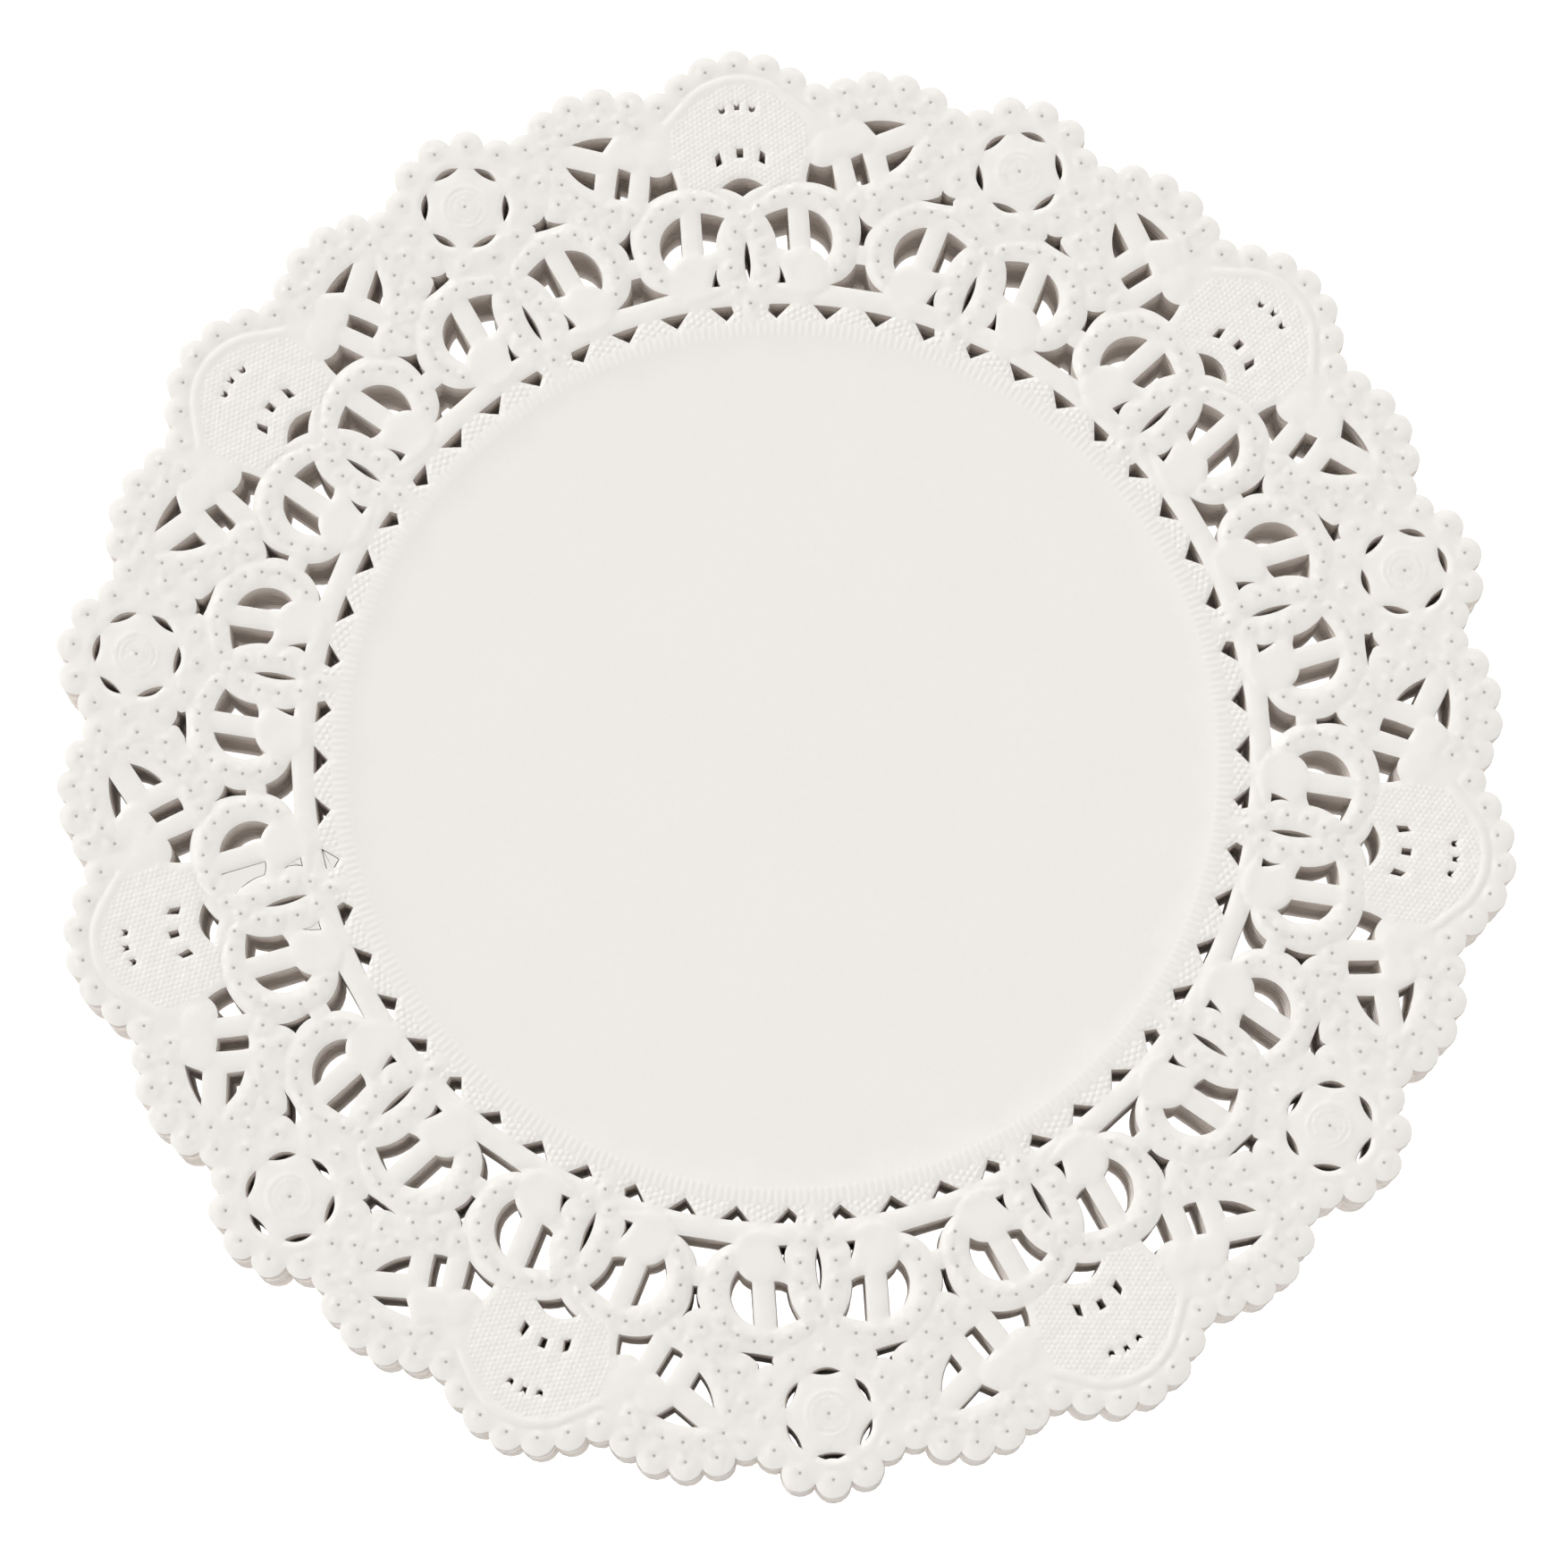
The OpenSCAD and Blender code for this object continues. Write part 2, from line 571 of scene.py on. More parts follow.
@dataclass
class Fan(Motif):
    """The fan with a fine mesh ground, a moon at its foot and short slots above the moon."""

    centre_r: float = 87.9
    ridge_r: float = 9.45
    mesh_r: float = 8.75
    mesh_pitch: float = 0.76
    mesh_height: float = 0.045
    moon: Cut = Cut(((-2.95, -6.35, 1.3), (2.95, -6.35, -0.18), (0.0, -7.8, -0.18)))
    slot: Cut = Cut(((-0.5, -0.7, 0.0), (0.5, -0.7, 0.0), (0.45, -2.05, 0.0), (-0.45, -2.05, 0.0)))
    side_slot: Cut = Cut(((-3.55, -1.7, 0.0), (-2.9, -1.1, 0.0), (-2.5, -2.7, 0.0), (-3.4, -3.25, 0.0)))
    mid_nick: Cut = Cut((
        (-0.45, 0.5, 0.0), (0.0, 0.15, 0.0), (0.45, 0.5, -0.05), (0.33, -0.4, 0.0), (-0.33, -0.4, -0.05),
    ))
    side_nick: Cut = Cut((
        (-0.5, 0.35, 0.0), (-0.1, 0.12, 0.0), (0.4, 0.45, -0.05),
        (0.45, -0.2, 0.0), (0.05, -0.5, 0.0), (-0.35, -0.3, -0.05),
    ))
    nick_rise: float = 5.4
    nick_side: tuple[float, float] = (-2.13, 5.0)

    @property
    def centre(self) -> tuple[float, float]:
        """Centre of the fan."""
        return polar(self.centre_r, HALF_TURN)

    def cuts(self, step: float) -> list[np.ndarray]:
        """Outlines of the moon, the slots and the nicks.

        Args:
            step: Spacing of the points.

        Returns:
            An array of x, y rows for each hole.
        """
        shapes = [
            self.moon.outline(step),
            self.slot.outline(step),
            self.side_slot.outline(step),
            self.mid_nick.outline(step) + (0.0, self.nick_rise),
            self.side_nick.outline(step) + self.nick_side,
        ]
        return [placed(shape, self.centre, HALF_TURN) for shape in shapes]

    def local(self, points: np.ndarray) -> np.ndarray:
        """Points in the fan's own frame."""
        return turned(points - np.array(self.centre), -HALF_TURN)

    @staticmethod
    def reach(p: np.ndarray) -> np.ndarray:
        """How far out each point of the fan's frame lies: round at the top and straight at both sides."""
        side = np.abs(p[:, 0])
        return np.where(side > p[:, 1], (side + p[:, 1]) * math.sqrt(0.5), np.hypot(*p.T))

    def along(self, reach: float) -> np.ndarray:
        """Points of the half repeat that all lie equally far out in the fan.

        Args:
            reach: How far out the points lie.

        Returns:
            An array of x, y rows.
        """
        top = arc((0.0, 0.0), reach, -45.0, 0.0, 0.55)
        side = np.array([top[0] - 0.55 * k * math.sqrt(0.5) for k in range(1, 9)])
        return placed(np.concatenate([top, side]), self.centre, HALF_TURN)

    def on_mesh(self, points: np.ndarray) -> np.ndarray:
        """How far each point lies on the mesh ground, from 0 to 1.

        Args:
            points: Points of the half repeat.

        Returns:
            A share for each point.
        """
        p = self.local(points)
        share = 1 - smooth(self.reach(p), self.mesh_r - 0.25, self.mesh_r + 0.15)
        share *= smooth(p[:, 1], -7.2, -6.6)
        share *= 1 - smooth(np.abs(p[:, 0]) - 0.42 * np.minimum(p[:, 1] + 1, 0), 9.5, 10.1)
        for x, y, disc_r in Arch().discs:
            away = np.hypot(*(points - (x, y)).T)
            share *= smooth(away, disc_r + 0.35, disc_r + 0.8)
        return share

    def lattice(self) -> np.ndarray:
        """Points of the fine mesh ground, with those midway between two peaks on the fan's line.

        Returns:
            An array of x, y rows.
        """
        step = self.mesh_pitch / math.sqrt(3)
        points = []
        rows = round(10.0 / step)
        for row in range(-rows, rows + 1):
            y = step * row * math.sqrt(3) / 2
            points += [(step * (k + 0.5 * (row % 2)), y) for k in range(-rows - 6, 1)]
            points.append((0.0, y))
        return placed(np.array(points), self.centre, HALF_TURN)

    def guides(self) -> list[np.ndarray]:
        """The mesh ground's points and rows along the ridge outside it.

        Returns:
            Arrays of x, y rows.
        """
        points = self.lattice()
        rows = [self.along(self.ridge_r + d) for d in (-0.65, -0.33, 0.0, 0.33, 0.62, 0.8, 1.15)]
        return [points[self.on_mesh(points) > 0.5]] + rows

    def relief(self, points: np.ndarray) -> np.ndarray:
        """A ridge that follows the scallops, and the mesh ground inside it.

        Args:
            points: Points of the half repeat.

        Returns:
            A height for each point, in millimetres.
        """
        p = self.local(points)
        reach = self.reach(p)
        ridge = 0.12 * np.clip(1 - ((reach - self.ridge_r) / 0.68) ** 2, 0, 1)
        ridge -= 0.06 * np.exp(-(((reach - self.ridge_r - 0.8) / 0.22) ** 2))
        ridge *= (1 - smooth(np.abs(p[:, 0]), 10.6, 12.2)) * smooth(p[:, 1], 0.5, 2.5)
        wave = np.zeros(len(points))
        for k in range(3):
            a = math.pi * k / 3
            across = p[:, 0] * math.cos(a) + p[:, 1] * math.sin(a)
            wave += np.cos(across * 4 * math.pi / (math.sqrt(3) * self.mesh_pitch)) / 3
        return ridge + self.mesh_height * wave * self.on_mesh(points)

    def crisp(self, points: np.ndarray) -> np.ndarray:
        """Which points lie on the mesh ground."""
        return self.on_mesh(points) > 0.5


@dataclass
class InnerEdge(Motif):
    """The plain band, the cuts with dotted teeth between them and the flutes round the plain disc."""

    band_in: float = 64.45
    band_out: float = 67.1
    cut_r: float = 64.25
    tooth_in: float = 61.95
    tooth_mid: float = 63.0
    tooth_count: int = 51
    tooth_rows: int = 6
    tooth_height: float = 0.08
    flute_in: float = 59.6
    flute_out: float = 61.8
    flutes: int = 392
    flute_height: float = 0.085
    plain_cut: Cut = Cut(((-2.0, 0.0, 0.06), (2.0, 0.0, 0.0), (0.0, -1.95, 0.0)))
    spine_cut: Cut = Cut(((-0.9, 0.05, 0.03), (2.0, 0.05, 0.0), (0.0, -2.0, 0.0), (-1.2, -0.9, 0.0)))

    def cuts(self, step: float) -> list[np.ndarray]:
        """Outlines of the four edge cuts of the half repeat.

        Args:
            step: Spacing of the points.

        Returns:
            An array of x, y rows for each hole.
        """
        eighth = HALF_TURN / 8
        plain, spine = (cut.outline(step) + (0.0, self.cut_r) for cut in (self.plain_cut, self.spine_cut))
        return [
            turned(spine, eighth), turned(plain, 3 * eighth),
            turned(plain, 5 * eighth), turned(mirrored(spine)[::-1], 7 * eighth),
        ]

    @property
    def tooth_step(self) -> float:
        """Angle between two points of a row of the teeth's lattice, in degrees."""
        return HALF_TURN / self.tooth_count

    @property
    def tooth_pitch(self) -> float:
        """Distance between two rows of the teeth's lattice."""
        return math.radians(self.tooth_step) * self.tooth_mid * math.sqrt(3) / 2

    def tooth_lattice(self) -> np.ndarray:
        """Points of the teeth's fine pattern, with some on both mirror lines in every row.

        Returns:
            An array of x, y rows.
        """
        found = []
        for row in range(self.tooth_rows):
            r = self.tooth_in + self.tooth_pitch * row
            steps = [k + 0.5 * (row % 2) for k in range(self.tooth_count)]
            found += [polar(r, self.tooth_step * k) for k in [0.0, *steps, float(self.tooth_count)]]
        return np.array(found)

    def teeth(self, points: np.ndarray) -> np.ndarray:
        """The teeth's pattern of raised dots, from -0.5 to 1.

        Args:
            points: Points of the half repeat.

        Returns:
            A value for each point.
        """
        r = np.hypot(*points.T)
        angle = np.degrees(np.arctan2(points[:, 0], points[:, 1]))
        across, along = angle / self.tooth_step, (r - self.tooth_in) / self.tooth_pitch * math.sqrt(3) / 2
        wave = np.zeros(len(points))
        for k in range(3):
            a = math.pi * k / 3
            wave += np.cos((across * math.cos(a) + along * math.sin(a)) * 4 * math.pi / 3) / 3
        return wave

    def guides(self) -> list[np.ndarray]:
        """Rows along the flutes, the disc's edge, the teeth and the band.

        Returns:
            Arrays of x, y rows.
        """
        quarter = 90.0 / self.flutes
        count = round(HALF_TURN / quarter)
        radii = [self.flute_in + d for d in (-0.2, 0.15, 0.6, 1.3)] + [self.flute_out - 0.25]
        rows = [np.array([polar(r, quarter * k) for k in range(count + 1)]) for r in radii]
        middle = (self.band_in + self.band_out) / 2
        for r in (self.band_out, middle - 0.7, middle, middle + 0.7):
            rows.append(arc((0, 0), r, 0, HALF_TURN, 0.7))
        return [self.tooth_lattice()] + rows

    def relief(self, points: np.ndarray) -> np.ndarray:
        """The rolled band, the teeth's dots, the spines and the flutes.

        Args:
            points: Points of the half repeat.

        Returns:
            A height for each point, in millimetres.
        """
        r = np.hypot(*points.T)
        angle = np.degrees(np.arctan2(points[:, 0], points[:, 1]))
        middle, half = (self.band_in + self.band_out) / 2, (self.band_out - self.band_in) / 2
        height = 0.08 * np.clip(1 - ((r - middle) / half) ** 2, 0, 1)
        on_flutes = smooth(r, self.flute_in - 0.1, self.flute_in + 0.5)
        on_flutes *= 1 - smooth(r, self.flute_out - 0.3, self.flute_out + 0.2)
        height += 0.06 * smooth(r, self.flute_in - 0.2, self.flute_in + 0.15)
        height += self.flute_height * on_flutes * (0.5 + 0.5 * np.cos(np.radians(angle * self.flutes)))
        height += self.tooth_height * self.teeth(points) * self.on_teeth(points)
        spine = np.minimum(np.abs(points[:, 0]), np.abs(turned(points, -HALF_TURN)[:, 0]))
        on_spine = (1 - smooth(spine, 0.3, 1.1)) * smooth(r, 61.6, 62.6) * (1 - smooth(r, 65.0, 66.0))
        return height * (1 - 0.6 * on_spine) + 0.1 * on_spine

    def on_teeth(self, points: np.ndarray) -> np.ndarray:
        """How far each point lies on the dotted teeth, from 0 to 1.

        Args:
            points: Points of the half repeat.

        Returns:
            A share for each point.
        """
        r = np.hypot(*points.T)
        start, end = (self.flute_out, self.flute_out + 0.2), (self.band_in - 0.5, self.band_in + 0.1)
        return smooth(r, *start) * (1 - smooth(r, *end))

    def crisp(self, points: np.ndarray) -> np.ndarray:
        """Which points lie on the dotted teeth and off the spines."""
        spine = np.minimum(np.abs(points[:, 0]), np.abs(turned(points, -HALF_TURN)[:, 0]))
        return (self.on_teeth(points) > 0.3) & (spine > 1.2)


@dataclass
class Border(Motif):
    """The scalloped edge: rosette, arch and fan scallops in a row, each with a dot in its middle."""

    lobe_r: float = 2.45
    rosette_lobe_r: float = 8.8
    rosette_step: float = 30.0
    arch_lobe_r: float = 12.4
    arch_first: float = -46.4
    arch_step: float = 19.7
    flank: tuple[float, float] = (94.4, 19.0)
    fan_lobe_r: float = 11.4
    fan_step: float = 21.1

    def lobes(self) -> list[tuple[float, float]]:
        """Centres of the scallops, from the rosette's line to the fan's line.

        Returns:
            The x, y of each scallop.
        """
        found = [placed(np.array([polar(self.rosette_lobe_r, self.rosette_step * k)]), (0.0, RING_MM))[0]
                 for k in range(3)]
        arch, fan = Arch(), Fan()
        for k in range(5):
            point = np.array([polar(self.arch_lobe_r, self.arch_first + self.arch_step * k)])
            found.append(placed(point, arch.centre, arch.direction)[0])
        found.append(np.array(polar(*self.flank)))
        for k in (2, 1, 0):
            point = np.array([polar(self.fan_lobe_r, -self.fan_step * k)])
            found.append(placed(point, fan.centre, HALF_TURN)[0])
        return found

    def outline(self, step: float) -> np.ndarray:
        """The scalloped edge from the rosette's line to the fan's line.

        Args:
            step: Spacing of the points.

        Returns:
            An array of x, y rows.
        """
        lobes = self.lobes()
        ends = [meeting_point(a, b, self.lobe_r) for a, b in zip(lobes, lobes[1:])]
        line = np.array(polar(1.0, HALF_TURN))
        ends = [lobes[0] + (0.0, self.lobe_r)] + ends + [lobes[-1] + line * self.lobe_r]
        points = []
        for lobe, start, end in zip(lobes, ends, ends[1:]):
            a, b = (math.degrees(math.atan2(*(p - lobe))) for p in (start, end))
            points.append(arc(lobe, self.lobe_r, a, b + (360 if b < a else 0), step)[:-1])
        return np.concatenate(points + [ends[-1][None]])

    def dots(self) -> list[np.ndarray]:
        """One dot in each scallop."""
        return [np.array(self.lobes())]


@dataclass
class Lace:
    """The whole pattern of the half repeat: outlines, dots, guide points and relief."""

    border: Border = field(default_factory=Border)
    motifs: tuple[Motif, ...] = field(
        default_factory=lambda: (LoopPair(), Web(), Rosette(), Arch(), Fan(), InnerEdge(), Border())
    )
    rim_drop: float = 0.2
    rim_width: float = 0.95
    dot_rise: float = 0.36
    dot_pit: float = 0.02
    dot_lip: float = 0.34
    dot_reach: float = 0.62

    @property
    def lines(self) -> tuple[np.ndarray, np.ndarray]:
        """Normals of the two mirror lines, pointing into the half repeat."""
        a = math.radians(HALF_TURN)
        return np.array([1.0, 0.0]), np.array([-math.cos(a), math.sin(a)])

    def holes(self, step: float) -> list[np.ndarray]:
        """Outlines of every hole, cut off at the mirror lines.

        Args:
            step: Spacing of the points.

        Returns:
            An array of x, y rows for each hole.
        """
        found = []
        for motif in self.motifs:
            for outline in motif.cuts(step):
                for normal in self.lines:
                    outline = clipped(outline, normal) if len(outline) else outline
                if len(outline) > 2 and np.ptp(outline, axis=0).max() > 0.1 and self.wide(outline):
                    found.append(outline)
        return found

    def wide(self, outline: np.ndarray) -> bool:
        """Whether an outline holds any area, and isn't just a part of a mirror line."""
        return all(float(np.abs(outline @ normal).max()) > 0.05 for normal in self.lines)

    def dots(self) -> np.ndarray:
        """Centres of the dots in the half repeat, with those just across its mirror lines.

        Returns:
            Arrays of x, y rows.
        """
        points = np.concatenate([p for motif in self.motifs for p in motif.dots()])
        first, second = self.lines
        across = np.concatenate([points - 2 * np.outer(points @ n, n) for n in (first, second)])
        points = np.concatenate([points, across])
        near = (points @ first > -2.0) & (points @ second > -2.0)
        points = points[near]
        _, index = np.unique(np.round(points, 3), axis=0, return_index=True)
        return points[np.sort(index)]

    def relief(self, points: np.ndarray, edge: np.ndarray, pricked: bool) -> np.ndarray:
        """Height of the embossed paper above its plain ground.

        Args:
            points: Points of the half repeat.
            edge: Distance of each point from the nearest cut edge.
            pricked: True for the face whose dots each hold a small pricked pit.

        Returns:
            A height for each point, in millimetres.
        """
        height = sum(motif.relief(points) for motif in self.motifs)
        height -= self.rim_drop * np.clip(1 - edge / self.rim_width, 0, 1) ** 2
        away = self.dot_distance(points)
        height += self.dot_rise * (1 - smooth(away, self.dot_lip * 0.8, self.dot_reach))
        if pricked:
            height -= (self.dot_rise + self.dot_pit) * (1 - smooth(away, 0.0, self.dot_lip * 0.8))
        return height

    def crisp(self, points: np.ndarray) -> np.ndarray:
        """Which points lie where each facet of the fine relief shows."""
        return np.any([motif.crisp(points) for motif in self.motifs], axis=0)

    def dot_distance(self, points: np.ndarray) -> np.ndarray:
        """Distance from each point to the nearest dot.

        Args:
            points: Points of the half repeat.

        Returns:
            A distance for each point.
        """
        dots = self.dots()
        nearest = [np.sqrt(((few[:, None, :] - dots[None]) ** 2).sum(2).min(1))
                   for few in np.array_split(points, max(1, len(points) // 2000))]
        return np.concatenate(nearest)


# ---------------------------------------------------------------- meshing


@dataclass(frozen=True)
class Spacing:
    """Distances between the mesh points of a face, in millimetres."""

    edge: float
    ground: float
    disc: float
    rows: tuple[float, ...]
    dot_rings: tuple[tuple[float, int], ...]
    fine: bool = False


class Detail(Enum):
    """How finely a face of a doily is meshed."""

    SHOWN = Spacing(0.5, 0.9, 3.0, (0.35, 0.85), ((0.14, 6), (0.32, 8), (0.62, 8)), True)
    UNDER = Spacing(0.5, 2.2, 6.0, (), ((0.5, 5),))
    STACKED = Spacing(0.95, 2.0, 6.0, (0.6,), ((0.5, 5),))


@dataclass(frozen=True)
class UncutPiece:
    """Waste that the punch didn't cut free: it still hangs in its hole by one side.

    Attributes:
        cut: The hole.
        centre: Where the hole's own frame lies on the line.
        line: Direction of that line on the doily, clockwise, in degrees.
        hinge: The side that holds.
        flip: True for a hole on the line's left side.
    """

    cut: Cut
    centre: tuple[float, float]
    line: float
    hinge: int
    flip: bool = False
    slot: float = 0.1
    hold: float = 0.3
    top: float = 0.27
    bottom: float = 0.06

    def outline(self) -> np.ndarray:
        """Points round the piece: a little inside the hole, but into the paper at the hinge.

        Returns:
            An array of x, y rows.
        """
        found = []
        for k, (side, out) in enumerate(zip(self.cut.sides(0.5), self.cut.outward())):
            end = self.cut.sides(0.5)[(k + 1) % len(self.cut.corners)][:1]
            points = np.concatenate([side, end])
            t = np.linspace(0.0, 1.0, len(points))[:, None]
            middle = points.mean(0)
            points = points + (middle - points) * 0.09 * (2 * t - 1) ** 4
            found.append(points + out * (self.hold if k == self.hinge else -self.slot))
        outline = np.concatenate(found) + np.array(self.centre)
        return turned(mirrored(outline)[::-1] if self.flip else outline, self.line)


class HalfRepeat:
    """Triangles of the half repeat, for the upper or the lower face of a doily."""

    def __init__(self, lace: Lace, detail: Detail) -> None:
        """Lays out the mesh points and joins them.

        Args:
            lace: The pattern.
            detail: How finely the face is meshed.
        """
        self.lace = lace
        self.spacing = spacing = detail.value
        self.holes = lace.holes(spacing.edge)
        self.edge_line = lace.border.outline(spacing.edge)
        self.starts, self.ends = self.border_sides()
        self.points, self.triangles = self.joined()
        self.edge = distance_to(self.points, self.starts, self.ends)

    def on_line(self, points: np.ndarray, which: int) -> np.ndarray:
        """Which points lie on one of the mirror lines."""
        return np.abs(points @ self.lace.lines[which]) < 1e-4

    def border_sides(self) -> tuple[np.ndarray, np.ndarray]:
        """Every side of the cut edges, without what lies along the mirror lines.

        Returns:
            The first and the second end of each side.
        """
        starts, ends = [self.edge_line[:-1]], [self.edge_line[1:]]
        for hole in self.holes:
            after = np.roll(hole, -1, axis=0)
            inner = np.zeros(len(hole), bool)
            for which in (0, 1):
                inner |= self.on_line(hole, which) & self.on_line(after, which)
            starts.append(hole[~inner])
            ends.append(after[~inner])
        return np.concatenate(starts), np.concatenate(ends)

    def region(self) -> np.ndarray:
        """Outline of the half repeat, from the doily's centre out to the scallops."""
        return np.concatenate([[[0.0, 0.0]], self.edge_line])

    def in_paper(self, points: np.ndarray) -> np.ndarray:
        """Which points lie on paper and not in a hole.

        Args:
            points: Points of the half repeat.

        Returns:
            A boolean for each point.
        """
        inside = contains(self.region(), points)
        for hole in self.holes:
            low, high = hole.min(0) - TINY, hole.max(0) + TINY
            near = ((points > low) & (points < high)).all(1)
            if near.any():
                inside[near] &= ~contains(hole, points[near])
        return inside

    def candidates(self) -> list[tuple[np.ndarray, float]]:
        """Inner mesh points in order of importance, each set with its own least spacing.

        Returns:
            The sets of points, each with its least spacing.
        """
        spacing = self.spacing
        dots = self.lace.dots()
        sets = [(dots, 0.1)]
        for radius, count in spacing.dot_rings:
            rings = [circle(dot, radius, count, self.ring_start(dot)) for dot in dots]
            sets.append((np.concatenate(rings), 0.1 + 0.35 * radius))
        for row in spacing.rows:
            sets.append((self.offset_row(row), 0.55 * spacing.edge))
        if spacing.fine:
            off_dots = spacing.dot_rings[-1][0] + 0.12
            guides = [(self.mirror_rows(57.0, 98.0, 0.45), 0.3)]
            guides += [(points, 0.18) for motif in self.lace.motifs for points in motif.guides()]
            sets += [(p[self.lace.dot_distance(p) > off_dots], least) for p, least in guides if len(p)]
        else:
            sets += [(arc((0, 0), r, 0, HALF_TURN, 1.6), 0.8) for r in (59.3, 60.1, 61.6, 65.8)]
        inner, outer = 59.0, 104.0
        sets.append((self.mirror_rows(inner, outer, 0.8 * spacing.ground), 0.5 * spacing.ground))
        sets.append((self.mirror_rows(0.0, inner, 0.9 * spacing.disc), 0.6 * spacing.disc))
        sets.append((self.hexagons(spacing.ground, inner, outer), 0.62 * spacing.ground))
        sets.append((self.hexagons(spacing.disc, 0.0, inner - 0.4 * spacing.disc), 0.6 * spacing.disc))
        sets.append((arc((0, 0), inner, 0, HALF_TURN, 0.5 * spacing.disc), 0.45 * spacing.disc))
        return sets

    def ring_start(self, dot: np.ndarray) -> float:
        """Direction of a dot ring's first point, so that a ring on a mirror line is symmetric."""
        return HALF_TURN if abs(float(dot @ self.lace.lines[1])) < 0.05 else 0.0

    def offset_row(self, distance: float) -> np.ndarray:
        """Points that run along the cut edges at a distance from them.

        Args:
            distance: Distance from the edges.

        Returns:
            An array of x, y rows.
        """
        along = self.ends - self.starts
        length = np.maximum(np.hypot(*along.T), TINY)[:, None]
        normal = np.stack([along[:, 1], -along[:, 0]], 1) / length
        middle = (self.starts + self.ends) / 2
        points = np.concatenate([middle + normal * distance, middle - normal * distance])
        return points[distance_to(points, self.starts, self.ends) > 0.9 * distance]

    @staticmethod
    def mirror_rows(inner: float, outer: float, step: float) -> np.ndarray:
        """Evenly spaced points along both mirror lines, between two radii."""
        radii = np.arange(inner + step, outer, step)
        return np.concatenate([np.outer(radii, polar(1.0, angle)) for angle in (0.0, HALF_TURN)])

    def hexagons(self, step: float, inner: float, outer: float) -> np.ndarray:
        """An even lattice between two radii.

        Args:
            step: Spacing of the points.
            inner: The smaller radius.
            outer: The larger radius.

        Returns:
            An array of x, y rows.
        """
        rows = []
        for row in range(int(outer / (step * 0.866)) + 1):
            y = row * step * 0.866
            x = np.arange(0, polar(outer, HALF_TURN)[0] + step, step) + 0.5 * step * (row % 2)
            rows.append(np.stack([x, np.full(len(x), y)], 1))
        points = np.concatenate(rows)
        r = np.hypot(*points.T)
        return points[(r >= inner) & (r <= outer)]

    def chosen(self) -> np.ndarray:
        """The inner mesh points: each candidate that is far enough from the edges and from the rest.

        Returns:
            An array of x, y rows.
        """
        first, second = self.lace.lines
        taken = np.concatenate([self.edge_line, *self.holes, np.zeros((1, 2))])
        count = len(taken)
        keep = np.zeros((count + 40000, 2))
        keep[:count] = taken
        for points, least in self.candidates():
            snap = min(0.9, 0.6 * least)
            for normal in (first, second):
                away = points @ normal
                close = np.abs(away) < snap
                points = points.copy()
                points[close] -= np.outer(away[close], normal)
            inside = (points @ first > -TINY) & (points @ second > -TINY)
            points = points[inside]
            nudged = points + (0.5 * TINY) * (first + second)
            points = points[self.in_paper(nudged)]
            if not len(points):
                continue
            margin = min(0.22, 0.6 * least)
            points = points[distance_to(points, self.starts, self.ends) > margin]
            for point in points:
                gaps = np.abs(keep[:count] - point).max(1)
                close = keep[:count][gaps < least]
                if not len(close) or np.hypot(*(close - point).T).min() >= least:
                    keep[count] = point
                    count += 1
        return keep[len(taken):count]

    def joined(self) -> tuple[np.ndarray, np.ndarray]:
        """Joins the points into triangles that keep to the cut edges.

        Returns:
            The points, and the triangles as rows of three indices.
        """
        parts = [self.edge_line, *self.holes]
        sides, start = [], 0
        for k, part in enumerate(parts):
            index = np.arange(start, start + len(part))
            closed = np.roll(index, -1) if k else index[1:]
            sides += list(zip(index[: len(closed)].tolist(), closed.tolist()))
            start += len(part)
        points = np.concatenate([*parts, np.zeros((1, 2)), self.chosen()])
        for which in (0, 1):
            row = np.flatnonzero(self.on_line(points, which))
            row = row[np.argsort(np.hypot(*points[row].T))]
            sides += list(zip(row[:-1].tolist(), row[1:].tolist()))
        found, _, faces, _, _, _ = delaunay_2d_cdt(
            [Vector(p) for p in points.tolist()], sides, [], 0, 1e-7, False
        )
        points = np.array([tuple(p) for p in found])
        faces = np.array(faces)
        middle = points[faces].mean(1)
        faces = faces[self.in_paper(middle)]
        a, b, c = (points[faces[:, k]] for k in range(3))
        area = (b[:, 0] - a[:, 0]) * (c[:, 1] - a[:, 1]) - (c[:, 0] - a[:, 0]) * (b[:, 1] - a[:, 1])
        faces = faces[np.abs(area) > 1e-7]
        flip = area[np.abs(area) > 1e-7] < 0
        faces[flip] = faces[flip][:, ::-1]
        used, faces = np.unique(faces, return_inverse=True)
        return points[used], faces.reshape(-1, 3)


